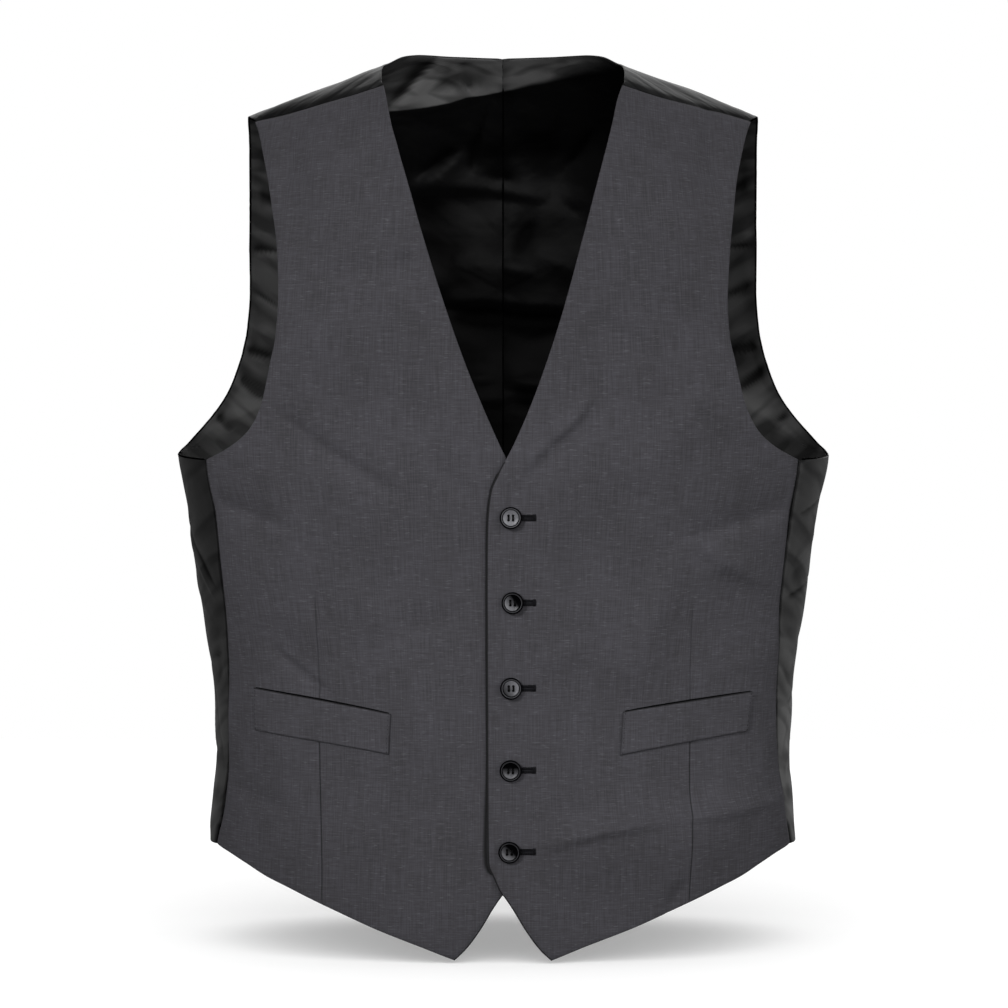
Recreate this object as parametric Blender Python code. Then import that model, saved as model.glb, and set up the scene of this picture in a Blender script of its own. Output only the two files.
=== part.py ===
# A single-breasted suit waistcoat, filled out as it is worn.
# +Z is up, the fronts face -Y and the wearer's left is at +X.
# The origin lies between the two shoulder points at the neck, where the wearer carries it.
# Sizes are in millimetres until a mesh is made.
import math

import bmesh
import bpy
import numpy as np

MM = 0.001


def table(names, *rows):
    # a short table, read by the names of its columns
    return dict(zip(names.split(), np.array(rows, dtype=float).T))


# Driving sizes
WALL_FRONT = 2.2        # wool, canvas and lining of a front, pressed together
WALL_BACK = 1.5         # satin and lining of the back
WALL_WELT = 1.8         # folded wool of a pocket welt
SEAM_GAP = 0.3          # clearance between two pieces that are sewn together
CROWN = 150.0           # height of the rounded top of the body, from the shoulder line down
SQUARE = 2.4            # squareness of the body's level sections, 2 is an ellipse
LAP_FLAT = 20.0         # the over front lies on the under front up to here
LAP_END = 62.0          # and is back on the body from here
FOLD_FREE = 22.0        # the fronts lie on each other without folds up to here
FOLD_FULL = 46.0        # and a fold has its whole rise from here
DART_DEPTH = 1.0
DART_WIDTH = 2.6
DART_FADE = 26.0        # length over which a dart's upper end runs out
DART_FOOT_FADE = 8.0    # and its lower end
VENT_TOP = -513.0       # the side seams are open below this height
VENT_FOOT = -541.0
VENT_SPREAD = 0.016     # how far each side vent has sprung open, radians of the section
BUTTON_HOLE = 0.85      # radius of a thread hole
BUTTON_HOLE_PITCH = 1.7 # and its distance from the middle, both ways

ROWS_UPPER = 16         # rows of faces of a front from the shoulder seam to the underarm
ROWS_NECK = 8           # rows of the back along its neck edge
ROWS_BLADE = 12         # and from there to the underarm
ROWS_LOWER = 20         # rows of either from the underarm to the hem
COLUMNS_INNER = 7       # columns from the middle to the dart line
COLUMNS_OUTER = 6       # and from there to the armhole or side seam

# Level sections of the body under the cloth
SECTIONS = table(
    "height half_width front_depth back_depth",
    (-620.0, 209.0, 96.0, 93.0),
    (-543.0, 205.8, 95.0, 90.0),
    (-508.0, 203.5, 93.0, 86.0),
    (-479.0, 201.2, 92.0, 82.0),
    (-437.0, 202.7, 92.0, 81.0),
    (-395.0, 207.6, 93.0, 84.0),
    (-352.0, 214.5, 94.0, 88.0),
    (-310.0, 220.0, 96.0, 92.0),
    (-272.0, 226.9, 97.0, 96.0),
    (-220.0, 228.0, 97.0, 100.0),
    (-150.0, 222.0, 95.0, 103.0),
    (-80.0, 214.0, 93.0, 103.0),
    (0.0, 208.0, 92.0, 100.0),
    (40.0, 206.0, 92.0, 98.0),
)

# Shoulder line seen from the front, from the neck down to the arm
SHOULDER = table(
    "across height",
    (0.0, 32.0),
    (20.0, 31.0),
    (40.0, 27.0),
    (58.0, 19.5),
    (70.0, 9.5),
    (76.0, 4.0),
    (82.0, -0.3),
    (92.0, -4.5),
    (130.0, -19.0),
    (178.0, -36.8),
    (230.0, -58.0),
)

# Edges of the pattern pieces. A height above the crown is measured over the unrolled cloth,
# and past_side is 1 where the back has turned the side of the body to the front.
NECKLINES = {
    "front_left": table(
        "across height",
        (82.6, 17.3),
        (79.8, 0.0),
        (75.2, -31.0),
        (71.9, -48.0),
        (67.9, -66.0),
        (64.0, -82.0),
        (60.0, -98.0),
        (55.9, -114.0),
        (51.9, -129.0),
        (46.6, -149.0),
        (41.1, -169.0),
        (35.0, -189.0),
        (28.6, -208.0),
        (23.1, -223.0),
        (17.1, -238.0),
        (11.5, -251.0),
        (5.5, -263.6),
        (1.2, -271.0),
    ),
    "front_right": table(
        "across height",
        (82.6, 17.3),
        (80.7, 0.0),
        (76.9, -31.0),
        (73.5, -48.0),
        (69.2, -66.0),
        (64.8, -82.0),
        (60.3, -98.0),
        (55.8, -114.0),
        (51.3, -129.0),
        (45.1, -149.0),
        (38.5, -169.0),
        (31.6, -189.0),
        (24.6, -208.0),
        (18.6, -223.0),
        (12.3, -238.0),
        (6.6, -251.0),
        (0.8, -263.6),
        (-2.4, -271.0),
    ),
}
# The lap's edge starts under the neckline, where the over front still shows the under one
LAP_TOPS = {
    "front_left": ((1.2, -271.0), (-3.6, -280.4), (-7.4, -289.1), (-9.4, -301.3)),
    "front_right": ((-2.4, -271.0), (-5.7, -280.4), (-8.2, -289.1), (-9.7, -301.3)),
}
LAP_FOOT = (
    (-10.3, -316.8),
    (-10.6, -364.3),
    (-10.3, -432.4),
    (-9.9, -533.6),
    (-9.4, -544.4),
    (-6.4, -551.6),
    (0.5, -565.0),
    (7.5, -575.2),
    (15.6, -588.8),
    (25.8, -602.6),
    (32.9, -609.5),
)
FRONT_HEM = table(
    "across height",
    (32.9, -609.5),
    (55.0, -600.8),
    (87.7, -588.5),
    (117.2, -575.9),
    (147.7, -563.0),
    (163.0, -556.8),
    (177.7, -549.2),
    (190.0, -543.6),
    (200.2, -539.9),
)
FRONT_ARMHOLE = table(
    "across height",
    (171.0, 9.8),
    (167.5, -15.4),
    (163.2, -46.7),
    (159.1, -73.9),
    (156.6, -95.9),
    (153.4, -124.6),
    (151.9, -149.1),
    (151.8, -169.4),
    (153.2, -186.2),
    (156.7, -203.1),
    (162.7, -230.2),
    (167.3, -242.5),
    (172.4, -250.9),
    (180.7, -259.0),
    (190.4, -265.5),
    (203.2, -272.4),
)
SIDE_SEAM = table(
    "across height",
    (203.2, -272.4),
    (199.9, -296.2),
    (196.3, -320.2),
    (193.5, -344.4),
    (191.6, -365.2),
    (190.4, -396.7),
    (189.5, -431.8),
    (189.9, -463.6),
    (192.4, -495.6),
    (195.4, -515.7),
    (200.2, -539.9),
)
SHOULDER_SEAM = table(
    "across height",
    (82.6, 17.3),
    (104.6, 12.4),
    (121.3, 10.0),
    (131.7, 9.0),
    (150.5, 8.6),
    (171.0, 9.8),
)
# The back's edges over the shoulder, by their turn in degrees past the shoulder line
BACK_NECK = table(
    "across turn",
    (83.6, -26.0),
    (84.2, -14.0),
    (82.6, -3.0),
    (80.0, 3.2),
    (74.0, 8.0),
    (60.0, 21.0),
    (40.0, 29.2),
    (20.0, 32.5),
    (0.15, 33.5),
)
BACK_ARMHOLE_TOP = table(
    "across turn",
    (171.0, -16.0),
    (175.6, -7.0),
    (177.0, 2.0),
    (177.9, 12.0),
)
BACK_ARMHOLE = table(
    "across height past_side",
    (178.1, -2.5, 0),
    (179.4, -60.0, 0),
    (181.0, -120.0, 0),
    (182.2, -171.3, 0),
    (183.7, -185.7, 0),
    (186.5, -200.0, 0),
    (190.7, -214.2, 0),
    (196.2, -228.4, 0),
    (204.6, -242.4, 0),
    (215.7, -256.1, 0),
    (224.6, -266.6, 0),
    (226.3, -270.9, 1),
    (217.6, -271.9, 1),
    (203.2, -272.4, 1),
)
BACK_HEM = table(
    "across height past_side",
    (0.15, -553.0, 0),
    (60.0, -552.0, 0),
    (120.0, -549.5, 0),
    (170.0, -546.5, 0),
    (200.2, -539.9, 1),
)
DART_LINES = {
    "front_left": table(
        "height across",
        (-620.0, 125.8),
        (-566.0, 126.4),
        (-470.0, 127.7),
        (-418.0, 127.3),
        (-362.0, 128.6),
        (-300.0, 126.8),
        (-230.0, 121.4),
        (-149.0, 116.5),
        (-60.0, 119.0),
        (20.0, 124.0),
    ),
    "front_right": table(
        "height across",
        (-620.0, 122.6),
        (-566.0, 123.2),
        (-470.0, 124.6),
        (-418.0, 125.3),
        (-362.0, 127.4),
        (-300.0, 126.0),
        (-230.0, 121.0),
        (-149.0, 116.5),
        (-60.0, 119.0),
        (20.0, 124.0),
    ),
}
DART_ENDS = {
    "front_left": {"foot": -563.0, "head": -369.0},
    "front_right": {"foot": -564.0, "head": -361.0},
}

# Soft folds: a run between two points, its half width and how far it stands out (in, below 0)
FOLD_COLUMNS = "across_0 height_0 across_1 height_1 half_width rise"
FOLDS = {
    "front_left": table(
        FOLD_COLUMNS,
        (-2.0, -294.0, 62.0, -226.0, 13.0, -1.6),
        (24.0, -322.0, 86.0, -262.0, 20.0, 1.5),
        (128.0, -318.0, 190.0, -303.0, 12.0, -1.4),
        (40.0, -529.0, 126.0, -514.0, 13.0, -1.5),
    ),
    "front_right": table(
        FOLD_COLUMNS,
        (14.0, -292.0, 58.0, -238.0, 14.0, -1.2),
        (124.0, -415.0, 160.0, -388.0, 12.0, -1.6),
        (70.0, -150.0, 132.0, -196.0, 16.0, 1.3),
        (150.0, -330.0, 192.0, -300.0, 13.0, -1.2),
    ),
    "back_left": table(
        FOLD_COLUMNS,
        (-8.0, -88.0, 34.0, -84.0, 12.0, 2.4),
        (34.0, -84.0, 76.0, -34.0, 13.0, 2.6),
        (-10.0, -147.0, 88.0, -139.0, 14.0, -2.8),
        (-10.0, -173.0, 120.0, -181.0, 14.0, 2.6),
        (30.0, -226.0, 150.0, -206.0, 15.0, -2.4),
        (60.0, -340.0, 190.0, -300.0, 17.0, 2.4),
        (20.0, -455.0, 170.0, -438.0, 18.0, -2.6),
    ),
    "back_right": table(
        FOLD_COLUMNS,
        (-8.0, -88.0, 46.0, -85.0, 12.0, 2.4),
        (-10.0, -147.0, 70.0, -152.0, 14.0, -2.4),
        (-10.0, -173.0, 104.0, -166.0, 14.0, 2.4),
        (16.0, -232.0, 160.0, -248.0, 15.0, -2.6),
        (70.0, -318.0, 200.0, -352.0, 17.0, 2.2),
        (20.0, -452.0, 180.0, -470.0, 18.0, -2.4),
    ),
}

# Corners of the pocket welts: top inner, top outer, bottom outer, bottom inner
WELTS = {
    "welt_left": table(
        "across height",
        (81.6, -441.2),
        (170.8, -430.4),
        (167.4, -457.9),
        (79.3, -470.9),
    ),
    "welt_right": table(
        "across height",
        (75.7, -442.3),
        (170.6, -427.9),
        (169.6, -457.2),
        (77.2, -470.2),
    ),
}
WELT_BOW = 0.9          # the welts' long edges rise this much at mid length
WELT_COLUMNS = 11
WELT_ROWS = 3

# The buttons from the top down, each where its buttonhole has pulled it
BUTTONS = table(
    "across height",
    (5.2, -308.4),
    (6.6, -365.9),
    (5.3, -424.0),
    (5.2, -479.9),
    (4.4, -535.3),
)
BUTTON_PROFILE = table(
    "radius height",
    (0.0, 0.0),
    (5.6, 0.0),
    (6.9, 0.5),
    (7.5, 1.2),
    (7.5, 1.9),
    (7.1, 2.7),
    (6.4, 3.0),
    (5.7, 2.8),
    (4.9, 2.2),
    (0.0, 1.9),
)
BUTTON_SIDES = 28
DRILL_SIDES = 10
DRILL_DEPTH = 8.0
SMOOTH_CLOTH = math.radians(50.0)
SMOOTH_BUTTON = math.radians(38.0)


def smoothStep(low, high, value):
    t = np.clip((value - low) / (high - low), 0.0, 1.0)
    return t * t * (3.0 - 2.0 * t)


def slopesOf(xs, ys):
    # monotone cubic slopes, so that a short table never overshoots its own values
    steps = np.diff(xs)
    rates = np.diff(ys) / steps
    slopes = np.zeros(len(xs))
    slopes[0] = rates[0]
    slopes[-1] = rates[-1]
    for i in range(1, len(xs) - 1):
        if rates[i - 1] * rates[i] > 0.0:
            before = 2.0 * steps[i] + steps[i - 1]
            after = steps[i] + 2.0 * steps[i - 1]
            slopes[i] = (before + after) / (before / rates[i - 1] + after / rates[i])
    return slopes


def curveThrough(xs, ys, at):
    slopes = slopesOf(xs, ys)
    k = np.clip(np.searchsorted(xs, at) - 1, 0, len(xs) - 2)
    step = xs[k + 1] - xs[k]
    t = np.clip((at - xs[k]) / step, 0.0, 1.0)
    low = (2 * t**3 - 3 * t**2 + 1) * ys[k] + (t**3 - 2 * t**2 + t) * step * slopes[k]
    high = (3 * t**2 - 2 * t**3) * ys[k + 1] + (t**3 - t**2) * step * slopes[k + 1]
    return low + high


def halfWidth(level):
    return curveThrough(SECTIONS["height"], SECTIONS["half_width"], level)


def shoulderLine(across):
    return curveThrough(SHOULDER["across"], SHOULDER["height"], np.abs(across))


def dartLine(name, level):
    return curveThrough(DART_LINES[name]["height"], DART_LINES[name]["across"], level)


def levelOf(across, height):
    # true height of a point of the unrolled cloth, and its turn from the shoulder line
    crown = shoulderLine(across)
    rise = np.maximum(height - (crown - CROWN), 0.0)
    turn = math.pi / 2 - rise / CROWN
    level = np.where(rise > 0.0, crown - CROWN + CROWN * np.cos(turn), height)
    return level, turn


def angleOf(across, height, pastSide):
    # angle round the level section, 0 at the middle and a quarter turn at the side
    level, _ = levelOf(across, height)
    ratio = np.clip(np.abs(across) / halfWidth(level), 0.0, 1.0)
    angle = np.arcsin(ratio ** (SQUARE / 2.0)) * np.sign(across)
    return np.where(pastSide > 0.5, math.pi - angle, angle)


def body(angle, height, isBack):
    # a point of the body for an angle round it and a height on the unrolled cloth
    power = 2.0 / SQUARE
    sideways = np.abs(np.sin(angle)) ** power * np.sign(np.sin(angle))
    level = np.minimum(height, 0.0)
    for _ in range(8):
        across = halfWidth(level) * sideways
        level, turn = levelOf(across, height)
    inward = np.abs(np.cos(angle)) ** power
    lean = np.sin(turn)
    front = curveThrough(SECTIONS["height"], SECTIONS["front_depth"], level)
    if isBack:
        back = curveThrough(SECTIONS["height"], SECTIONS["back_depth"], level)
        behind = (np.cos(angle) >= 0.0) & (lean >= 0.0)
        depth = np.where(behind, back * inward * lean, -front * inward * np.abs(lean))
    else:
        depth = -front * inward * lean
    return np.stack([across, depth, level], axis=-1)


def normalsOf(surface, angle, height, outward):
    step = 0.004
    lift = 0.8
    round_ = surface(angle + step, height) - surface(angle - step, height)
    up = surface(angle, height + lift) - surface(angle, height - lift)
    normal = np.cross(round_, up)
    normal /= np.linalg.norm(normal, axis=-1)[..., None]
    return normal * outward


def foldRise(folds, across, height):
    total = np.zeros_like(across)
    for x0, z0, x1, z1, halfwidth, rise in zip(*folds.values()):
        run = math.hypot(x1 - x0, z1 - z0)
        ux = (x1 - x0) / run
        uz = (z1 - z0) / run
        along = (across - x0) * ux + (height - z0) * uz
        off = (across - x0) * uz - (height - z0) * ux
        end = 0.9 * halfwidth
        reach = smoothStep(-end, end, along) * smoothStep(-end, end, run - along)
        total += rise * reach * np.exp(-(off / halfwidth) ** 2)
    return total


def skinOf(name, isBack, hasDart=True):
    # outer face of one piece: the body, then the lap, the dart and the folds
    outward = -1.0 if isBack else 1.0
    folds = FOLDS[name]

    def base(angle, height):
        return body(angle, height, isBack)

    def skin(angle, height):
        points = base(angle, height)
        across = points[..., 0]
        level = points[..., 2]
        rise = foldRise(folds, across, level)
        if name in DART_ENDS:
            rise = rise * smoothStep(FOLD_FREE, FOLD_FULL, across)
        if name in DART_ENDS and hasDart:
            ends = DART_ENDS[name]
            reach = smoothStep(ends["foot"], ends["foot"] + DART_FOOT_FADE, level)
            reach *= 1.0 - smoothStep(ends["head"] - DART_FADE, ends["head"], level)
            off = (across - dartLine(name, level)) / DART_WIDTH
            rise = rise - DART_DEPTH * reach * np.exp(-off ** 2)
        if name == "front_left":
            rise = rise + (WALL_FRONT + SEAM_GAP) * (1.0 - smoothStep(LAP_FLAT, LAP_END, across))
        normal = normalsOf(base, angle, height, outward)
        return points + normal * rise[..., None]

    return skin, outward


def edgeOf(edge, pastSide=0.0):
    # angle and height of each point of an edge
    pastSide = edge.get("past_side", np.full_like(edge["across"], pastSide))
    angle = angleOf(edge["across"], edge["height"], pastSide)
    return np.stack([angle, edge["height"]], axis=-1)


def turnedHeight(across, turn):
    # height over the unrolled cloth of a point turned past the shoulder line
    return shoulderLine(across) - CROWN + CROWN * (math.pi / 2 + turn)


def turnedEdge(edge):
    across = edge["across"]
    height = turnedHeight(across, -np.radians(edge["turn"]))
    return np.stack([angleOf(across, height, np.zeros_like(across)), height], axis=-1)


def lengthsAlong(points):
    steps = np.linalg.norm(np.diff(points, axis=0), axis=1)
    return np.concatenate([[0.0], np.cumsum(steps)])


def spread(edge, count, isBack):
    # points evenly spaced along an edge of the cloth, from a smooth curve through its table
    samples = 400
    chord = lengthsAlong(body(edge[:, 0], edge[:, 1], isBack))
    fine = np.linspace(0.0, chord[-1], samples)
    angle = curveThrough(chord, edge[:, 0], fine)
    height = curveThrough(chord, edge[:, 1], fine)
    length = lengthsAlong(body(angle, height, isBack))
    even = np.linspace(0.0, length[-1], count + 1)
    return np.stack([np.interp(even, length, angle), np.interp(even, length, height)], axis=-1)


def heightAlong(edge, angle):
    order = np.argsort(edge[:, 0])
    return curveThrough(edge[order, 0], edge[order, 1], angle)


def fractionsOf(row, name):
    # where the columns cross one row, with three columns along the dart of a front
    (angle0, height0), (angle1, height1) = row
    if name not in DART_LINES:
        return np.linspace(0.0, 1.0, COLUMNS_INNER + COLUMNS_OUTER + 3)
    across = DART_LINES[name]["across"].mean()
    middle = 0.5
    beside = 0.028
    for _ in range(6):
        height = height0 + middle * (height1 - height0)
        level, _ = levelOf(across, height)
        across = dartLine(name, level)
        middle = float((angleOf(across, height, 0.0) - angle0) / (angle1 - angle0))
    inner = np.linspace(0.0, middle - beside, COLUMNS_INNER + 1)
    outer = np.linspace(middle + beside, 1.0, COLUMNS_OUTER + 1)
    return np.concatenate([inner, [middle], outer])


def gridOf(name, inner, outer, top, bottom):
    # rows run from the inner edge to the outer one, and the end rows follow their own edges
    angles = []
    heights = []
    topHold = 1.5           # how fast the shape of the top edge fades down the rows
    bottomHold = 1.3        # and that of the bottom edge, up the rows
    rowsUpper = len(inner) - 1 - ROWS_LOWER
    for i in range(len(inner)):
        fraction = fractionsOf((inner[i], outer[i]), name)
        drop = fraction
        if name not in DART_LINES:
            # the last rows above the underarm drop early, to stay inside the hollow armhole
            early = smoothStep(0.45, 0.8, i / rowsUpper) * (i <= rowsUpper)
            drop = fraction + early * fraction * (1.0 - fraction)
        angles.append(inner[i, 0] + fraction * (outer[i, 0] - inner[i, 0]))
        heights.append(inner[i, 1] + drop * (outer[i, 1] - inner[i, 1]))
    angles = np.array(angles)
    heights = np.array(heights)
    topShift = heightAlong(top, angles[0]) - heights[0]
    bottomShift = heightAlong(bottom, angles[-1]) - heights[-1]
    for i in range(len(inner)):
        upper = max(0.0, 1.0 - i / rowsUpper) ** topHold
        lower = max(0.0, (i - rowsUpper) / ROWS_LOWER) ** bottomHold
        heights[i] += upper * topShift + lower * bottomShift
    return angles, heights


def wallMesh(outerPoints, innerPoints):
    # a closed wall from two matching grids of points
    rows, columns = outerPoints.shape[:2]
    count = rows * columns
    verts = np.concatenate([outerPoints.reshape(-1, 3), innerPoints.reshape(-1, 3)]) * MM
    faces = []
    for i in range(rows - 1):
        for j in range(columns - 1):
            a = i * columns + j
            quad = (a, a + 1, a + columns + 1, a + columns)
            faces.append(quad)
            faces.append(tuple(count + k for k in reversed(quad)))
    rim = [(0, j) for j in range(columns)]
    rim += [(i, columns - 1) for i in range(1, rows)]
    rim += [(rows - 1, j) for j in range(columns - 2, -1, -1)]
    rim += [(i, 0) for i in range(rows - 2, 0, -1)]
    loop = [i * columns + j for i, j in rim]
    for k, a in enumerate(loop):
        b = loop[(k + 1) % len(loop)]
        faces.append((b, a, count + a, count + b))
    mesh = bpy.data.meshes.new("wall")
    mesh.from_pydata([tuple(map(float, v)) for v in verts], [], faces)
    return mesh


def finish(name, mesh, material, smoothAngle=SMOOTH_CLOTH):
    work = bmesh.new()
    work.from_mesh(mesh)
    bmesh.ops.recalc_face_normals(work, faces=work.faces[:])
    for face in work.faces:
        face.smooth = True
    for edge in work.edges:
        if len(edge.link_faces) == 2:
            edge.smooth = edge.calc_face_angle(0.0) < smoothAngle
    work.to_mesh(mesh)
    work.free()
    mesh.name = name
    mesh.materials.clear()
    mesh.materials.append(material)
    part = bpy.data.objects.new(name, mesh)
    bpy.context.scene.collection.objects.link(part)
    return part


def materialOf(name, colour, roughness):
    material = bpy.data.materials.new(name)
    material.use_nodes = True
    shader = material.node_tree.nodes["Principled BSDF"]
    shader.inputs["Base Color"].default_value = (*colour, 1.0)
    shader.inputs["Roughness"].default_value = roughness
    material.diffuse_color = (*colour, 1.0)
    return material


def joined(*edges):
    parts = [edges[0]]
    for edge in edges[1:]:
        parts.append(edge[1:])
    return np.concatenate(parts)


def makeFront(name, side, material):
    skin, outward = skinOf(name, False)
    lap = table("across height", *LAP_TOPS[name], *LAP_FOOT)
    inner = joined(
        spread(edgeOf(NECKLINES[name]), ROWS_UPPER, False),
        spread(edgeOf(lap), ROWS_LOWER, False),
    )
    outer = joined(
        spread(edgeOf(FRONT_ARMHOLE), ROWS_UPPER, False),
        spread(edgeOf(SIDE_SEAM), ROWS_LOWER, False),
    )
    angles, heights = gridOf(name, inner, outer, edgeOf(SHOULDER_SEAM), edgeOf(FRONT_HEM))
    points = skin(angles, heights)
    normals = normalsOf(skin, angles, heights, outward)
    lining = points - normals * WALL_FRONT
    mirror = np.array([side, 1.0, 1.0])
    return finish(name, wallMesh(points * mirror, lining * mirror), material)


def makeBack(name, side, material):
    skin, outward = skinOf(name, True)
    neck = turnedEdge(BACK_NECK)
    hem = edgeOf(BACK_HEM)
    underarmLevel = SIDE_SEAM["height"][0]
    underarm = edgeOf(table("across height", (SEAM_GAP / 2, underarmLevel)))
    centre = np.concatenate([neck[-1:], underarm])
    lowerInner = np.concatenate([underarm, hem[:1]])
    upperOuter = np.concatenate([turnedEdge(BACK_ARMHOLE_TOP), edgeOf(BACK_ARMHOLE)])
    lowerOuter = edgeOf(SIDE_SEAM, pastSide=1.0)
    clear = SEAM_GAP / SECTIONS["front_depth"].mean()
    upperOuter[-1, 0] -= clear
    lowerOuter[:, 0] -= clear
    lowerOuter[:, 0] -= VENT_SPREAD * smoothStep(VENT_TOP, VENT_FOOT, lowerOuter[:, 1])
    inner = joined(
        spread(neck, ROWS_NECK, True),
        spread(centre, ROWS_BLADE, True),
        spread(lowerInner, ROWS_LOWER, True),
    )
    outer = joined(
        spread(upperOuter, ROWS_NECK + ROWS_BLADE, True),
        spread(lowerOuter, ROWS_LOWER, True),
    )
    # the same seam as the front's, reached from behind the shoulder line
    seam = edgeOf(SHOULDER_SEAM)
    _, turn = levelOf(SHOULDER_SEAM["across"], SHOULDER_SEAM["height"])
    clear = SEAM_GAP * CROWN / SECTIONS["back_depth"].max()
    seam[:, 1] = turnedHeight(SHOULDER_SEAM["across"], turn) - clear
    inner[0] = seam[0]
    outer[0] = seam[-1]
    hem[-1] = outer[-1]
    angles, heights = gridOf(name, inner, outer, seam, hem)
    points = skin(angles, heights)
    normals = normalsOf(skin, angles, heights, outward)
    lining = points - normals * WALL_BACK
    mirror = np.array([side, 1.0, 1.0])
    return finish(name, wallMesh(points * mirror, lining * mirror), material)


def makeWelt(name, front, side, material):
    skin, outward = skinOf(front, False, hasDart=False)
    corners = np.stack([WELTS[name]["across"], WELTS[name]["height"]], axis=-1)
    topInner, topOuter, bottomOuter, bottomInner = corners
    u = np.linspace(0.0, 1.0, WELT_COLUMNS + 1)[None, :, None]
    v = np.linspace(0.0, 1.0, WELT_ROWS + 1)[:, None, None]
    flat = (1 - v) * ((1 - u) * topInner + u * topOuter)
    flat = flat + v * ((1 - u) * bottomInner + u * bottomOuter)
    across = flat[..., 0]
    height = flat[..., 1] + WELT_BOW * 4.0 * (u * (1.0 - u))[..., 0]
    angle = angleOf(across, height, np.zeros_like(across))
    points = skin(angle, height)
    normals = normalsOf(skin, angle, height, outward)
    inner = points + normals * SEAM_GAP
    outer = points + normals * (SEAM_GAP + WALL_WELT)
    mirror = np.array([side, 1.0, 1.0])
    return finish(name, wallMesh(outer * mirror, inner * mirror), material)


def lathe(profile, sides):
    verts = []
    rings = []
    for radius, height in zip(profile["radius"], profile["height"]):
        if radius < 1e-6:
            rings.append([len(verts)])
            verts.append((0.0, 0.0, height))
            continue
        ring = []
        for k in range(sides):
            turn = 2.0 * math.pi * k / sides
            ring.append(len(verts))
            verts.append((radius * math.cos(turn), radius * math.sin(turn), height))
        rings.append(ring)
    faces = []
    for low, high in zip(rings, rings[1:]):
        for k in range(sides):
            n = (k + 1) % sides
            if len(low) == 1:
                faces.append((low[0], high[n], high[k]))
            elif len(high) == 1:
                faces.append((low[k], low[n], high[0]))
            else:
                faces.append((low[k], low[n], high[n], high[k]))
    return verts, faces


def makeButton(name, number, material):
    skin, outward = skinOf("front_left", False)
    across = BUTTONS["across"][number:number + 1]
    level = BUTTONS["height"][number:number + 1]
    angle = angleOf(across, level, np.zeros(1))
    seat = skin(angle, level)[0]
    axis = normalsOf(skin, angle, level, outward)[0]
    origin = seat + axis * SEAM_GAP
    upright = np.array([0.0, 0.0, 1.0])
    upright -= axis * float(upright @ axis)
    upright /= np.linalg.norm(upright)
    sideways = np.cross(upright, axis)
    frame = np.stack([sideways, upright, axis])
    verts, faces = lathe(BUTTON_PROFILE, BUTTON_SIDES)
    mesh = bpy.data.meshes.new(name)
    mesh.from_pydata([tuple((np.array(v) @ frame + origin) * MM) for v in verts], [], faces)
    part = finish(name, mesh, material, SMOOTH_BUTTON)
    drills = bmesh.new()
    for dx in (-1, 1):
        for dz in (-1, 1):
            bmesh.ops.create_cone(
                drills,
                cap_ends=True,
                segments=DRILL_SIDES,
                radius1=BUTTON_HOLE,
                radius2=BUTTON_HOLE,
                depth=DRILL_DEPTH,
            )
            place = np.array([dx, dz, 0.0]) * BUTTON_HOLE_PITCH
            for vert in drills.verts[-2 * DRILL_SIDES:]:
                local = np.array(vert.co) + place
                vert.co = tuple((local @ frame + origin) * MM)
    bmesh.ops.recalc_face_normals(drills, faces=drills.faces[:])
    drillMesh = bpy.data.meshes.new("drills")
    drills.to_mesh(drillMesh)
    drills.free()
    drill = bpy.data.objects.new("drills", drillMesh)
    bpy.context.scene.collection.objects.link(drill)
    cut = part.modifiers.new("holes", "BOOLEAN")
    cut.operation = "DIFFERENCE"
    cut.solver = "EXACT"
    cut.object = drill
    bpy.context.view_layer.update()
    cutMesh = bpy.data.meshes.new_from_object(
        part.evaluated_get(bpy.context.evaluated_depsgraph_get())
    )
    bpy.data.objects.remove(drill)
    bpy.data.objects.remove(part)
    return finish(name, cutMesh, material, SMOOTH_BUTTON)


def build():
    for item in list(bpy.data.objects):
        bpy.data.objects.remove(item)
    wool = materialOf("charcoal_wool", (0.062, 0.060, 0.068), 0.85)
    satin = materialOf("black_satin", (0.016, 0.016, 0.018), 0.42)
    resin = materialOf("button_resin", (0.012, 0.012, 0.013), 0.25)
    makeFront("front_left", 1.0, wool)
    makeFront("front_right", -1.0, wool)
    makeBack("back_left", 1.0, satin)
    makeBack("back_right", -1.0, satin)
    makeWelt("welt_left", "front_left", 1.0, wool)
    makeWelt("welt_right", "front_right", -1.0, wool)
    for i in range(len(BUTTONS["height"])):
        makeButton(f"button_{i + 1}", i, resin)


build()
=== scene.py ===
import math

import bpy
import numpy as np
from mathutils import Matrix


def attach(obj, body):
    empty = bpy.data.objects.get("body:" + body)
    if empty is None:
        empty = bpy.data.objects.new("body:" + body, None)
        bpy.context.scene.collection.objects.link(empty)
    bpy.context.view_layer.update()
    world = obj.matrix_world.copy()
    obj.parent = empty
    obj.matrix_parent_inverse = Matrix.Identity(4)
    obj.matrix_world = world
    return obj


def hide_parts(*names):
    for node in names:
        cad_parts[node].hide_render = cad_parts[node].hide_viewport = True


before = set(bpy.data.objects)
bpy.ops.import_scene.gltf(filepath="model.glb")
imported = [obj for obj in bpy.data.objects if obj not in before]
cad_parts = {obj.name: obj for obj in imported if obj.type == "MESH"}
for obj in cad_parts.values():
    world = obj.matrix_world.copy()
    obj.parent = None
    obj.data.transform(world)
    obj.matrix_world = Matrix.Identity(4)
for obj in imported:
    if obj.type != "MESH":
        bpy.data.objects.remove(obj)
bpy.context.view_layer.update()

mm = 0.001
chance = np.random.default_rng(11)      # one seed, so that every run sews the same stitches


def table(names, *rows):
    # a short table, read by the names of its columns
    return dict(zip(names.split(), np.array(rows, dtype=float).T))


# the body under the cloth, and the edges of the pattern pieces on it

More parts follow.
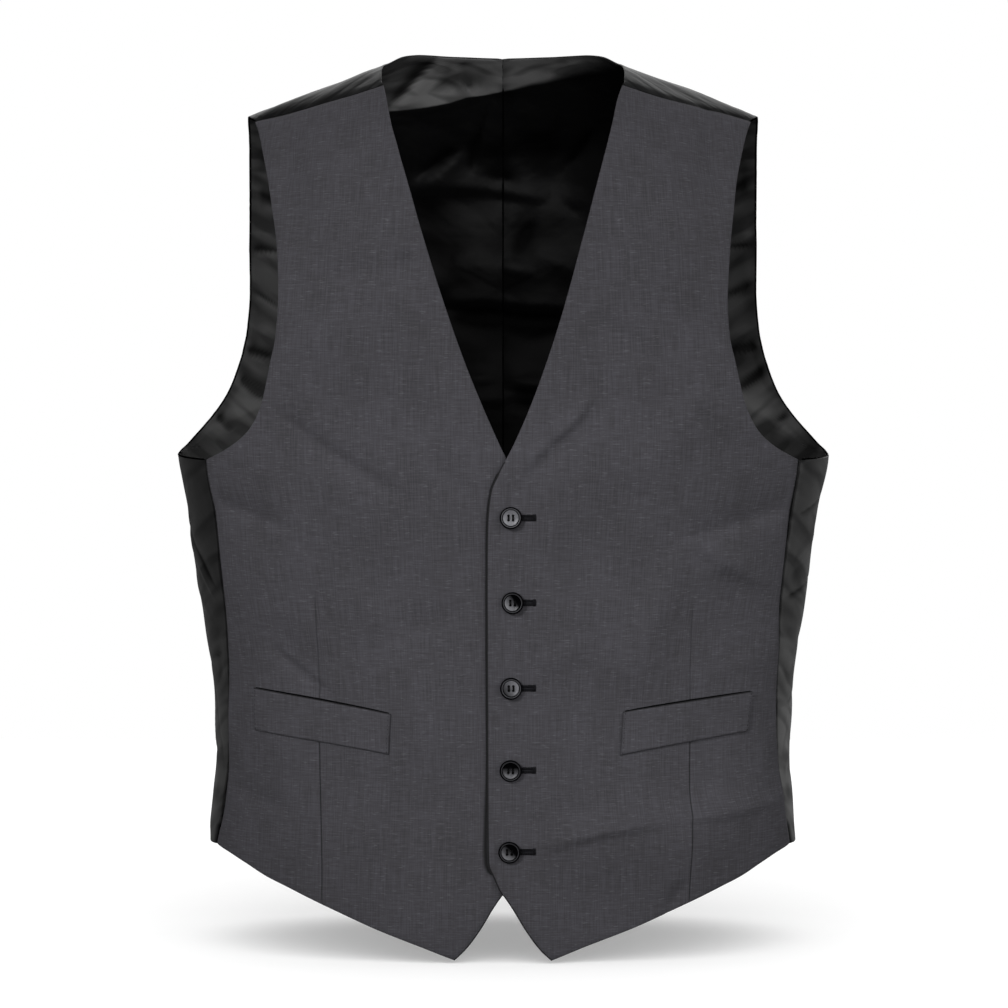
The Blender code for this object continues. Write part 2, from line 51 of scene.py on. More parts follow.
form = {
    "crown": 150.0,             # height of the rounded top, from the shoulder line down
    "squareness": 2.4,          # of the level sections, 2 is an ellipse
    "roundAt": -300.0,          # the height at which distances round the body are measured
    "sections": table(
        "height halfWidth front back",
        (-620.0, 209.0, 96.0, 93.0),
        (-543.0, 205.8, 95.0, 90.0),
        (-508.0, 203.5, 93.0, 86.0),
        (-479.0, 201.2, 92.0, 82.0),
        (-437.0, 202.7, 92.0, 81.0),
        (-395.0, 207.6, 93.0, 84.0),
        (-352.0, 214.5, 94.0, 88.0),
        (-310.0, 220.0, 96.0, 92.0),
        (-272.0, 226.9, 97.0, 96.0),
        (-220.0, 228.0, 97.0, 100.0),
        (-150.0, 222.0, 95.0, 103.0),
        (-80.0, 214.0, 93.0, 103.0),
        (0.0, 208.0, 92.0, 100.0),
        (40.0, 206.0, 92.0, 98.0),
    ),
    "shoulder": table(
        "across height",
        (0.0, 32.0),
        (20.0, 31.0),
        (40.0, 27.0),
        (58.0, 19.5),
        (70.0, 9.5),
        (76.0, 4.0),
        (82.0, -0.3),
        (92.0, -4.5),
        (130.0, -19.0),
        (178.0, -36.8),
        (230.0, -58.0),
    ),
}

edges = {
    "necklines": {
        "front_left": table(
            "across height",
            (82.6, 17.3), (79.8, 0.0), (75.2, -31.0), (71.9, -48.0), (67.9, -66.0), (64.0, -82.0),
            (60.0, -98.0), (55.9, -114.0), (51.9, -129.0), (46.6, -149.0), (41.1, -169.0), (35.0, -189.0),
            (28.6, -208.0), (23.1, -223.0), (17.1, -238.0), (11.5, -251.0), (5.5, -263.6), (1.2, -271.0),
        ),
        "front_right": table(
            "across height",
            (82.6, 17.3), (80.7, 0.0), (76.9, -31.0), (73.5, -48.0), (69.2, -66.0), (64.8, -82.0),
            (60.3, -98.0), (55.8, -114.0), (51.3, -129.0), (45.1, -149.0), (38.5, -169.0), (31.6, -189.0),
            (24.6, -208.0), (18.6, -223.0), (12.3, -238.0), (6.6, -251.0), (0.8, -263.6), (-2.4, -271.0),
        ),
    },
    "lapTops": {
        "front_left": ((1.2, -271.0), (-3.6, -280.4), (-7.4, -289.1), (-9.4, -301.3)),
        "front_right": ((-2.4, -271.0), (-5.7, -280.4), (-8.2, -289.1), (-9.7, -301.3)),
    },
    "lapFoot": (
        (-10.3, -316.8), (-10.6, -364.3), (-10.3, -432.4), (-9.9, -533.6), (-9.4, -544.4), (-6.4, -551.6),
        (0.5, -565.0), (7.5, -575.2), (15.6, -588.8), (25.8, -602.6), (32.9, -609.5),
    ),
    "frontHem": table(
        "across height",
        (32.9, -609.5),
        (55.0, -600.8),
        (87.7, -588.5),
        (117.2, -575.9),
        (147.7, -563.0),
        (163.0, -556.8),
        (177.7, -549.2),
        (190.0, -543.6),
        (200.2, -539.9),
    ),
    "frontArmhole": table(
        "across height",
        (171.0, 9.8),
        (167.5, -15.4),
        (163.2, -46.7),
        (159.1, -73.9),
        (156.6, -95.9),
        (153.4, -124.6),
        (151.9, -149.1),
        (151.8, -169.4),
        (153.2, -186.2),
        (156.7, -203.1),
        (162.7, -230.2),
        (167.3, -242.5),
        (172.4, -250.9),
        (180.7, -259.0),
        (190.4, -265.5),
        (203.2, -272.4),
    ),
    "side": table(
        "across height",
        (203.2, -272.4),
        (199.9, -296.2),
        (196.3, -320.2),
        (193.5, -344.4),
        (191.6, -365.2),
        (190.4, -396.7),
        (189.5, -431.8),
        (189.9, -463.6),
        (192.4, -495.6),
        (195.4, -515.7),
        (200.2, -539.9),
    ),
    "shoulderSeam": table(
        "across height",
        (82.6, 17.3),
        (104.6, 12.4),
        (121.3, 10.0),
        (131.7, 9.0),
        (150.5, 8.6),
        (171.0, 9.8),
    ),
    "backNeck": table(              # turn is in degrees past the shoulder line
        "across turn",
        (83.6, -26.0),
        (84.2, -14.0),
        (82.6, -3.0),
        (80.0, 3.2),
        (74.0, 8.0),
        (60.0, 21.0),
        (40.0, 29.2),
        (20.0, 32.5),
        (0.15, 33.5),
    ),
    "backArmholeTop": table(
        "across turn",
        (171.0, -16.0),
        (175.6, -7.0),
        (177.0, 2.0),
        (177.9, 12.0),
    ),
    "backArmhole": table(           # pastSide is 1 where the back has turned the side to the front
        "across height pastSide",
        (178.1, -2.5, 0),
        (179.4, -60.0, 0),
        (181.0, -120.0, 0),
        (182.2, -171.3, 0),
        (183.7, -185.7, 0),
        (186.5, -200.0, 0),
        (190.7, -214.2, 0),
        (196.2, -228.4, 0),
        (204.6, -242.4, 0),
        (215.7, -256.1, 0),
        (224.6, -266.6, 0),
        (226.3, -270.9, 1),
        (217.6, -271.9, 1),
        (203.2, -272.4, 1),
    ),
    "backHem": table(
        "across height pastSide",
        (0.15, -553.0, 0),
        (60.0, -552.0, 0),
        (120.0, -549.5, 0),
        (170.0, -546.5, 0),
        (200.2, -539.9, 1),
    ),
    "darts": {
        "front_left": table(
            "height across",
            (-620.0, 125.8), (-566.0, 126.4), (-470.0, 127.7), (-418.0, 127.3), (-362.0, 128.6),
            (-300.0, 126.8), (-230.0, 121.4), (-149.0, 116.5), (-60.0, 119.0), (20.0, 124.0),
        ),
        "front_right": table(
            "height across",
            (-620.0, 122.6), (-566.0, 123.2), (-470.0, 124.6), (-418.0, 125.3), (-362.0, 127.4),
            (-300.0, 126.0), (-230.0, 121.0), (-149.0, 116.5), (-60.0, 119.0), (20.0, 124.0),
        ),
    },
}


def smoothStep(low, high, value):
    t = np.clip((value - low) / (high - low), 0.0, 1.0)
    return t * t * (3.0 - 2.0 * t)


def slopesOf(xs, ys):
    # monotone cubic slopes, so that a short table never overshoots its own values
    steps = np.diff(xs)
    rates = np.diff(ys) / steps
    slopes = np.zeros(len(xs))
    slopes[0] = rates[0]
    slopes[-1] = rates[-1]
    for i in range(1, len(xs) - 1):
        if rates[i - 1] * rates[i] > 0.0:
            before = 2.0 * steps[i] + steps[i - 1]
            after = steps[i] + 2.0 * steps[i - 1]
            slopes[i] = (before + after) / (before / rates[i - 1] + after / rates[i])
    return slopes


def curveThrough(xs, ys, at):
    slopes = slopesOf(xs, ys)
    k = np.clip(np.searchsorted(xs, at) - 1, 0, len(xs) - 2)
    step = xs[k + 1] - xs[k]
    t = np.clip((at - xs[k]) / step, 0.0, 1.0)
    low = (2 * t**3 - 3 * t**2 + 1) * ys[k] + (t**3 - 2 * t**2 + t) * step * slopes[k]
    high = (3 * t**2 - 2 * t**3) * ys[k + 1] + (t**3 - t**2) * step * slopes[k + 1]
    return low + high


def sectionAt(name, level):
    return curveThrough(form["sections"]["height"], form["sections"][name], level)


def shoulderLine(across):
    return curveThrough(form["shoulder"]["across"], form["shoulder"]["height"], np.abs(across))


def dartLine(name, level):
    return curveThrough(edges["darts"][name]["height"], edges["darts"][name]["across"], level)


def levelOf(across, height):
    # true height of a point of the unrolled cloth, and its turn from the shoulder line
    crown = shoulderLine(across)
    rise = np.maximum(height - (crown - form["crown"]), 0.0)
    turn = math.pi / 2 - rise / form["crown"]
    level = np.where(rise > 0.0, crown - form["crown"] * (1.0 - np.cos(turn)), height)
    return level, turn


def angleOf(across, height, pastSide):
    # angle round the level section, 0 at the middle and a quarter turn at the side
    level, _ = levelOf(across, height)
    ratio = np.clip(np.abs(across) / sectionAt("halfWidth", level), 0.0, 1.0)
    angle = np.arcsin(ratio ** (form["squareness"] / 2.0)) * np.sign(across)
    return np.where(pastSide > 0.5, math.pi - angle, angle)


def body(angle, height, isBack):
    # a point of the body for an angle round it and a height on the unrolled cloth
    power = 2.0 / form["squareness"]
    sideways = np.abs(np.sin(angle)) ** power * np.sign(np.sin(angle))
    level = np.minimum(height, 0.0)
    for _ in range(8):
        across = sectionAt("halfWidth", level) * sideways
        level, turn = levelOf(across, height)
    inward = np.abs(np.cos(angle)) ** power
    lean = np.sin(turn)
    front = sectionAt("front", level)
    if isBack:
        behind = (np.cos(angle) >= 0.0) & (lean >= 0.0)
        back = sectionAt("back", level)
        depth = np.where(behind, back * inward * lean, -front * inward * np.abs(lean))
    else:
        depth = -front * inward * lean
    return np.stack([across, depth, level], axis=-1)


def lengthsAlong(points):
    steps = np.linalg.norm(np.diff(points, axis=0), axis=1)
    return np.concatenate([[0.0], np.cumsum(steps)])


def aroundTable(isBack):
    # distance round the body from its middle, for an angle
    angles = np.linspace(-0.2, 2.2, 1201)       # from past the middle to well past the side
    lengths = lengthsAlong(body(angles, np.full_like(angles, form["roundAt"]), isBack))
    return angles, lengths - np.interp(0.0, angles, lengths)


aroundTables = {True: aroundTable(True), False: aroundTable(False)}


def aroundOf(angle, isBack):
    return np.interp(angle, *aroundTables[isBack])


def normalsOf(surface, angle, height, outward):
    step = 0.004                # radians round the body
    lift = 0.8                  # and millimetres up it
    sideways = surface(angle + step, height) - surface(angle - step, height)
    upward = surface(angle, height + lift) - surface(angle, height - lift)
    normal = np.cross(sideways, upward)
    normal /= np.linalg.norm(normal, axis=-1)[..., None]
    return normal * outward


# folds and creases

foldNames = "across0 height0 across1 height1 width rise"
folds = {                   # the large soft ones, which the solids have too
    "front_left": table(
        foldNames,
        (-2.0, -294.0, 62.0, -226.0, 13.0, -1.6),
        (24.0, -322.0, 86.0, -262.0, 20.0, 1.5),
        (128.0, -318.0, 190.0, -303.0, 12.0, -1.4),
        (40.0, -529.0, 126.0, -514.0, 13.0, -1.5),
    ),
    "front_right": table(
        foldNames,
        (14.0, -292.0, 58.0, -238.0, 14.0, -1.2),
        (124.0, -415.0, 160.0, -388.0, 12.0, -1.6),
        (70.0, -150.0, 132.0, -196.0, 16.0, 1.3),
        (150.0, -330.0, 192.0, -300.0, 13.0, -1.2),
    ),
    "back_left": table(
        foldNames,
        (-8.0, -88.0, 34.0, -84.0, 12.0, 2.4),
        (34.0, -84.0, 76.0, -34.0, 13.0, 2.6),
        (-10.0, -147.0, 88.0, -139.0, 14.0, -2.8),
        (-10.0, -173.0, 120.0, -181.0, 14.0, 2.6),
        (30.0, -226.0, 150.0, -206.0, 15.0, -2.4),
        (60.0, -340.0, 190.0, -300.0, 17.0, 2.4),
        (20.0, -455.0, 170.0, -438.0, 18.0, -2.6),
    ),
    "back_right": table(
        foldNames,
        (-8.0, -88.0, 46.0, -85.0, 12.0, 2.4),
        (-10.0, -147.0, 70.0, -152.0, 14.0, -2.4),
        (-10.0, -173.0, 104.0, -166.0, 14.0, 2.4),
        (16.0, -232.0, 160.0, -248.0, 15.0, -2.6),
        (70.0, -318.0, 200.0, -352.0, 17.0, 2.2),
        (20.0, -452.0, 180.0, -470.0, 18.0, -2.4),
    ),
}

# Fine creases: a run between two points, how far its middle bows, its width on either side,
# how far it stands out (in, below 0) and how much steeper its one side is.
# across is measured over the front, and round the whole back from its middle seam.
creaseNames = "across0 height0 across1 height1 bow width rise lean"
creases = {
    "front_left": table(
        creaseNames,
        (2.0, -288.0, 33.0, -258.0, -1.0, 5.5, 4.2, -0.4),
        (31.0, -259.0, 62.0, -224.0, 2.0, 5.5, 4.0, -0.4),
        (2.0, -291.0, 44.0, -252.0, 1.0, 7.0, -2.4, 0.2),
        (84.0, -430.0, 127.0, -322.0, -5.0, 15.0, 3.6, 0.3),
        (124.0, -324.0, 198.0, -304.0, 1.5, 7.0, -2.6, -0.3),
        (126.0, -325.0, 182.0, -359.0, 1.0, 7.5, 2.6, -0.3),
        (165.0, -410.0, 150.0, -345.0, 0.0, 28.0, -4.2, 0.0),
        (85.0, -292.0, 143.0, -221.0, -3.0, 16.0, 3.1, 0.2),
        (26.0, -532.0, 122.0, -513.0, -3.0, 9.0, 4.9, -0.5),
        (110.0, -515.0, 196.0, -506.0, 0.0, 8.0, 3.9, -0.5),
        (24.0, -532.0, 196.0, -512.0, -2.0, 26.0, 8.5, 0.6),
        (110.0, -580.0, 125.0, -556.0, 0.0, 6.0, -2.3, 0.0),
        (139.0, -28.0, 149.0, -96.0, 2.0, 8.0, -2.3, 0.0),
        (112.0, -48.0, 122.0, -172.0, 3.0, 17.0, 2.1, 0.0),
        (58.0, -172.0, 104.0, -204.0, -2.0, 9.0, -1.6, 0.2),
        (20.0, -410.0, 58.0, -392.0, 2.0, 9.0, 1.6, 0.0),
        (132.0, -228.0, 176.0, -258.0, 2.0, 9.0, 1.6, 0.0),
        (140.0, -480.0, 184.0, -496.0, 2.0, 9.0, 1.6, 0.0),
    ),
    "front_right": table(
        creaseNames,
        (112.0, -432.0, 160.0, -395.0, 1.5, 5.0, -2.4, 0.6),
        (62.0, -130.0, 82.0, -160.0, 0.0, 6.5, -3.0, 0.0),
        (62.0, -133.0, 124.0, -148.0, 2.0, 8.0, -1.6, 0.0),
        (137.0, -62.0, 150.0, -86.0, 0.0, 7.0, -2.1, 0.0),
        (62.0, -297.0, 158.0, -234.0, 3.0, 6.5, -2.9, 0.2),
        (14.0, -300.0, 52.0, -262.0, 2.0, 7.0, -2.1, 0.2),
        (22.0, -322.0, 17.0, -378.0, 0.0, 7.0, -1.6, 0.0),
        (140.0, -318.0, 198.0, -300.0, 1.0, 7.0, -2.2, -0.3),
        (146.0, -510.0, 190.0, -497.0, 0.0, 7.0, -2.0, 0.0),
        (68.0, -386.0, 112.0, -350.0, 4.0, 12.0, 2.0, 0.0),
        (20.0, -366.0, 72.0, -386.0, 3.0, 10.0, -1.8, 0.0),
        (92.0, -60.0, 142.0, -96.0, 2.0, 10.0, 2.0, 0.0),
    ),
    "back": table(
        creaseNames,
        # inside the neck: the facing and its pinches
        (-84.0, -30.0, -14.0, -16.5, 1.5, 5.0, -2.2, -0.7),
        (-16.0, -16.5, 34.0, -6.0, 0.5, 5.0, -1.8, -0.7),
        (30.0, -7.0, 76.0, 3.0, 0.0, 5.0, -1.4, -0.4),
        (-44.0, 8.0, -80.0, -26.0, 0.0, 4.0, -2.4, -0.4),
        (-50.0, 8.0, -86.0, -24.0, 0.0, 5.0, 1.6, 0.0),
        (-22.0, 8.0, -34.0, 0.0, 1.0, 4.0, 1.0, 0.0),
        (-31.0, -5.0, -22.0, -14.0, 1.4, 3.0, 1.0, 0.0),
        (-14.0, -13.0, 16.0, -8.0, 1.0, 4.0, 1.1, 0.0),
        (40.0, 10.0, 52.0, 3.0, 0.0, 4.0, 1.2, 0.0),
        # and the lining below it
        (-8.3, -19.0, -25.3, -74.0, 1.0, 3.0, 1.1, 0.4),
        (-70.0, -84.0, 4.0, -86.0, -2.5, 11.0, -5.0, -0.5),
        (-8.0, -85.0, 36.0, -90.0, 0.5, 8.0, -3.6, -0.5),
        (-66.0, -83.0, -26.0, -55.0, 1.0, 5.0, -2.2, 0.4),
        (-68.0, -76.0, -36.0, -55.0, 2.0, 5.0, 1.4, 0.0),
        (-22.0, -75.0, 14.0, -77.0, 0.0, 5.0, 1.4, 0.0),
        (42.0, -74.0, 68.0, -40.0, 1.5, 3.5, 1.2, -0.3),
        (40.0, -92.0, 64.0, -102.0, 1.0, 4.5, 1.4, 0.0),
        (6.0, -26.0, 40.0, -34.0, 0.0, 12.0, -1.6, 0.0),
        (26.0, -98.0, 6.0, -138.0, 0.0, 7.0, 1.2, 0.0),
        (-38.0, -137.0, -4.0, -140.5, 0.0, 5.0, -1.9, -0.4),
        (-6.0, -140.5, 24.0, -144.0, 0.0, 5.0, -2.0, -0.4),
        (22.0, -131.0, 52.0, -141.0, 0.0, 5.0, -1.6, -0.3),
        (-46.0, -166.5, 8.0, -167.5, -1.0, 5.4, -3.8, -0.6),
        (-4.0, -168.5, 58.0, -171.0, 0.0, 5.4, -3.8, -0.6),
        (-42.0, -178.0, 10.0, -178.0, 0.0, 7.0, 2.0, 0.0),
        (0.0, -181.0, 52.0, -182.0, 0.0, 7.0, 2.0, 0.0),
        (-28.0, -223.0, -4.0, -223.0, 0.0, 4.5, -2.2, -0.4),
        (4.0, -225.5, 34.0, -228.0, 0.0, 5.0, -3.0, -0.5),
        (-18.0, -237.0, 4.0, -238.0, 0.0, 4.5, -2.2, -0.4),
        (4.0, -239.0, 28.0, -241.0, 0.0, 6.0, 1.9, 0.0),
        # inside the armholes
        (-206.0, -127.0, -158.0, -129.0, 0.0, 3.6, 2.2, -0.3),
        (-200.0, -145.0, -158.0, -171.0, 1.0, 3.4, 1.8, 0.0),
        (-196.0, -196.0, -158.0, -206.0, 1.0, 3.6, 2.2, -0.3),
        (-196.0, -214.0, -164.0, -238.0, 0.0, 3.6, 1.8, 0.0),
        (-214.0, -236.0, -196.0, -258.0, 1.0, 4.0, 1.8, 0.0),
        (-190.0, -84.0, -160.0, -96.0, 1.0, 7.0, 1.2, 0.0),
        (158.0, -126.0, 202.0, -124.0, 0.0, 3.6, 2.2, -0.3),
        (156.0, -162.0, 198.0, -144.0, 1.5, 3.4, 1.8, 0.0),
        (158.0, -201.0, 190.0, -197.0, 0.0, 3.6, 2.2, -0.3),
        (166.0, -230.0, 194.0, -206.0, 1.0, 3.6, 1.8, 0.0),
        (196.0, -252.0, 214.0, -240.0, 0.0, 4.0, 1.8, 0.0),
        (156.0, -88.0, 192.0, -80.0, 1.0, 7.0, 1.2, 0.0),
        # down the sides, where the back shows beside the fronts
        (-252.0, -300.0, -326.0, -372.0, 2.0, 3.4, -1.4, 0.4),
        (-256.0, -310.0, -322.0, -378.0, 2.0, 3.0, 1.1, 0.2),
        (-262.0, -346.0, -300.0, -382.0, -2.0, 3.0, 1.0, 0.0),
        (-262.0, -420.0, -318.0, -404.0, 1.0, 3.6, -1.0, 0.3),
        (-270.0, -436.0, -292.0, -506.0, 3.0, 3.2, 0.9, 0.0),
        (-284.0, -430.0, -304.0, -496.0, 2.0, 3.0, -0.8, 0.0),
        (-258.0, -480.0, -322.0, -470.0, 0.0, 3.6, -0.9, 0.3),
        (-300.0, -286.0, -272.0, -330.0, 2.0, 4.0, 0.9, 0.0),
        (270.0, -298.0, 332.0, -313.0, 1.0, 3.0, -1.2, 0.4),
        (262.0, -352.0, 330.0, -369.0, 2.0, 3.2, -1.3, 0.4),
        (266.0, -322.0, 322.0, -352.0, -1.0, 3.4, 1.0, 0.2),
        (258.0, -404.0, 306.0, -384.0, 1.0, 3.4, -1.0, 0.2),
        (262.0, -433.0, 322.0, -445.0, 2.0, 3.0, -1.1, 0.4),
        (276.0, -440.0, 296.0, -500.0, 2.0, 3.2, 0.9, 0.0),
        (290.0, -436.0, 306.0, -490.0, 2.0, 3.0, -0.8, 0.0),
        (258.0, -494.0, 320.0, -486.0, -1.0, 3.6, -0.8, 0.2),
        # over the back
        (-232.0, -262.0, -118.0, -212.0, 4.0, 8.0, -2.0, 0.3),
        (96.0, -208.0, 224.0, -268.0, -4.0, 8.0, -2.0, 0.3),
        (-160.0, -92.0, -84.0, -64.0, 3.0, 8.0, -1.6, 0.2),
        (92.0, -62.0, 150.0, -98.0, -3.0, 8.0, -1.6, 0.2),
        (-236.0, -322.0, -96.0, -300.0, 5.0, 8.0, -2.2, 0.4),
        (60.0, -296.0, 236.0, -326.0, -4.0, 8.0, -2.0, 0.3),
        (-90.0, -352.0, 40.0, -340.0, 4.0, 8.0, -1.9, 0.3),
        (-20.0, -300.0, 56.0, -318.0, 2.0, 7.0, -1.5, 0.2),
        (-210.0, -398.0, -60.0, -384.0, -5.0, 8.0, -2.1, 0.4),
        (80.0, -392.0, 222.0, -410.0, 5.0, 8.0, -2.1, 0.3),
        (-140.0, -430.0, -10.0, -442.0, 3.0, 8.0, -1.7, 0.2),
        (24.0, -428.0, 130.0, -420.0, 3.0, 8.0, -1.8, 0.3),
        (-180.0, -500.0, -90.0, -476.0, 3.0, 9.0, -1.5, 0.2),
        (96.0, -480.0, 196.0, -508.0, -3.0, 9.0, -1.5, 0.2),
        (-60.0, -520.0, 30.0, -508.0, 3.0, 9.0, 1.4, 0.0),
    ),
}

creaseShape = {
    "endWidth": 0.6,            # width at a crease's ends, as a share of its width
    "hold": 0.7,                # below 1, it keeps its height nearly to its ends
    "front": 1.7,               # sharpness across it, 2 is a soft bell
    "back": 1.5,
    "nearButtons": 0.25,        # share of it that is left beside the buttons
    "calmTo": 8.0,              # across, and the rest comes in from here
    "fullFrom": 40.0,           # to here
    "sway": 0.9,                # how much a wave wanders, and over how many of its lengths
    "swayLength": 2.6,
}

# Slow unevenness of the whole cloth: waves over it, by length, direction in degrees and height
waves = {
    "front": table(
        "length direction rise start",
        (168.0, 22.0, 0.62, 0.4),
        (131.0, 104.0, 0.52, 1.9),
        (97.0, 61.0, 0.38, 3.1),
        (74.0, 148.0, 0.28, 5.0),
        (49.0, 35.0, 0.10, 2.2),
    ),
    "back": table(
        "length direction rise start",
        (150.0, 71.0, 0.8, 1.3),
        (104.0, 128.0, 0.6, 4.4),
        (71.0, 84.0, 0.45, 0.2),
        (52.0, 40.0, 0.28, 2.8),
        (33.0, 99.0, 0.13, 5.6),
        (21.0, 63.0, 0.05, 3.9),
    ),
}


def foldRise(rows, across, level):
    total = np.zeros_like(across)
    for x0, z0, x1, z1, width, rise in zip(*rows.values()):
        run = math.hypot(x1 - x0, z1 - z0)
        ux = (x1 - x0) / run
        uz = (z1 - z0) / run
        along = (across - x0) * ux + (level - z0) * uz
        off = (across - x0) * uz - (level - z0) * ux
        end = 0.9 * width
        reach = smoothStep(-end, end, along) * smoothStep(-end, end, run - along)
        total += rise * reach * np.exp(-(off / width) ** 2)
    return total


def creaseRise(rows, across, level, sharpness):
    total = np.zeros_like(across)
    endWidth = creaseShape["endWidth"]
    for x0, z0, x1, z1, bow, width, rise, lean in zip(*rows.values()):
        run = math.hypot(x1 - x0, z1 - z0)
        ux = (x1 - x0) / run
        uz = (z1 - z0) / run
        t = np.clip(((across - x0) * ux + (level - z0) * uz) / run, 0.0, 1.0)
        swell = np.sin(math.pi * t)
        off = (across - x0) * uz - (level - z0) * ux - bow * swell
        side = width * (endWidth + (1.0 - endWidth) * swell) * np.where(off > 0.0, 1.0 + lean, 1.0 - lean)
        total += rise * swell ** creaseShape["hold"] * np.exp(-np.abs(off / side) ** sharpness)
    return total


def waveRise(rows, around, height):
    total = np.zeros_like(around)
    for length, direction, rise, start in zip(*rows.values()):
        turn = math.radians(direction)
        along = around * math.cos(turn) + height * math.sin(turn)
        across = height * math.cos(turn) - around * math.sin(turn)
        wander = across * 2.0 * math.pi / (creaseShape["swayLength"] * length) + 2.0 * start
        sway = creaseShape["sway"] * np.sin(wander)
        total += rise * np.sin(along * 2.0 * math.pi / length + start + sway)
    return total


cloth = {
    "frontWall": 2.2,           # wool, canvas and lining, pressed together
    "backWall": 1.5,            # satin and lining
    "seamGap": 0.3,
    "lapFlat": 20.0,            # the over front lies on the under front up to here
    "lapEnd": 62.0,             # and is back on the body from here
    "foldFree": 22.0,           # the large folds fade out towards the lap
    "foldFull": 46.0,
    "dartDepth": 0.3,
    "dartWidth": 2.6,
    "dartSeam": 0.35,           # the stitched line itself, sharper than the hollow beside it
    "dartSeamWidth": 0.45,
    "dartEnds": {"front_left": (-563.0, -366.0), "front_right": (-564.0, -357.0)},
    "dartFades": (8.0, 26.0),   # over these lengths, from its foot and to its head
}


def dartReach(name, level):
    foot, head = cloth["dartEnds"][name]
    rising, falling = cloth["dartFades"]
    return smoothStep(foot, foot + rising, level) * (1.0 - smoothStep(head - falling, head, level))


def dartRise(name, across, level):
    off = across - dartLine(name, level)
    hollow = cloth["dartDepth"] * np.exp(-(off / cloth["dartWidth"]) ** 2)
    seam = cloth["dartSeam"] * np.exp(-(off / cloth["dartSeamWidth"]) ** 2)
    return -dartReach(name, level) * (hollow + seam)


def skinOf(name):
    # outer face of one piece: the body, then its large folds and the lap of the over front
    isBack = name.startswith("back")
    outward = -1.0 if isBack else 1.0

    def base(angle, height):
        return body(angle, height, isBack)

    def skin(angle, height):
        points = base(angle, height)
        across = points[..., 0]
        rise = foldRise(folds[name], across, points[..., 2])
        if not isBack:
            rise = rise * smoothStep(cloth["foldFree"], cloth["foldFull"], across)
        if name == "front_left":
            lift = cloth["frontWall"] + cloth["seamGap"]
            rise = rise + lift * (1.0 - smoothStep(cloth["lapFlat"], cloth["lapEnd"], across))
        normal = normalsOf(base, angle, height, outward)
        return points + normal * rise[..., None]

    return skin, outward


def reliefOf(name, points, angle, height):
    # creases and slow waves of the cloth over its skin
    side = 1.0 if name.endswith("left") else -1.0
    isBack = name.startswith("back")
    panelSide = "back" if isBack else "front"
    rows = creases["back" if isBack else name]
    around = side * aroundOf(angle, isBack)
    across = around if isBack else points[..., 0]
    rise = creaseRise(rows, across, points[..., 2], creaseShape[panelSide])
    rise = rise + waveRise(waves[panelSide], around, height)
    if isBack:
        return rise
    near = creaseShape["nearButtons"]
    return (near + (1.0 - near) * smoothStep(creaseShape["calmTo"], creaseShape["fullFrom"], across)) * rise


# the panels: a grid of points between four edges, and a closed shell round it

grid = {
    "rowsUpper": 112,           # from the shoulder seam to the underarm
    "rowsNeck": 40,             # of the back, along its neck edge
    "rowsBlade": 84,            # and below it, down to the underarm
    "rowsLower": 124,
    "columnsInner": 46,         # from the middle to the dart
    "columnsOuter": 40,
    "besideDart": 0.028,        # share of a row's width that the dart's own columns take, each way
    "dartColumns": (-0.6, -0.34, -0.2, -0.1, -0.04, 0.0, 0.04, 0.1, 0.2, 0.34, 0.6),
    "backColumns": 118,
    "topHold": 1.5,             # how fast the shape of the top edge fades down the rows
    "bottomHold": 1.3,
    "earlyDrop": (0.45, 0.8),   # shares of the back's upper rows between which this sets in
    "ventTop": -513.0,
    "ventFoot": -541.0,
    "ventTuck": 0.018,          # the back closes under the front at the vents, radians of the section
}


def edgeOf(edge, pastSide=0.0):
    pastSide = edge.get("pastSide", np.full_like(edge["across"], pastSide))
    return np.stack([angleOf(edge["across"], edge["height"], pastSide), edge["height"]], axis=-1)


def turnedHeight(across, turn):
    return shoulderLine(across) - form["crown"] + form["crown"] * (math.pi / 2 + turn)


def turnedEdge(edge):
    across = edge["across"]
    height = turnedHeight(across, -np.radians(edge["turn"]))
    return np.stack([angleOf(across, height, np.zeros_like(across)), height], axis=-1)


def spread(edge, count, isBack):
    # points evenly spaced along an edge, from a smooth curve through its table
    chord = lengthsAlong(body(edge[:, 0], edge[:, 1], isBack))
    fine = np.linspace(0.0, chord[-1], 400)
    angle = curveThrough(chord, edge[:, 0], fine)
    height = curveThrough(chord, edge[:, 1], fine)
    length = lengthsAlong(body(angle, height, isBack))
    even = np.linspace(0.0, length[-1], count + 1)
    return np.stack([np.interp(even, length, angle), np.interp(even, length, height)], axis=-1)


def joined(*parts):
    return np.concatenate([parts[0]] + [part[1:] for part in parts[1:]])


def heightAlong(edge, angle):
    order = np.argsort(edge[:, 0])
    return curveThrough(edge[order, 0], edge[order, 1], angle)


def fractionsOf(row, name):
    # where the columns cross one row, close together along the dart of a front
    (angle0, height0), (angle1, height1) = row
    if name not in edges["darts"]:
        return np.linspace(0.0, 1.0, grid["backColumns"] + 1)
    across = edges["darts"][name]["across"].mean()
    middle = 0.5
    for _ in range(6):
        height = height0 + middle * (height1 - height0)
        level, _ = levelOf(across, height)
        across = dartLine(name, level)
        middle = float((angleOf(across, height, 0.0) - angle0) / (angle1 - angle0))
    beside = grid["besideDart"]
    inner = np.linspace(0.0, middle - beside, grid["columnsInner"] + 1)
    outer = np.linspace(middle + beside, 1.0, grid["columnsOuter"] + 1)
    return np.concatenate([inner, middle + beside * np.array(grid["dartColumns"]), outer])


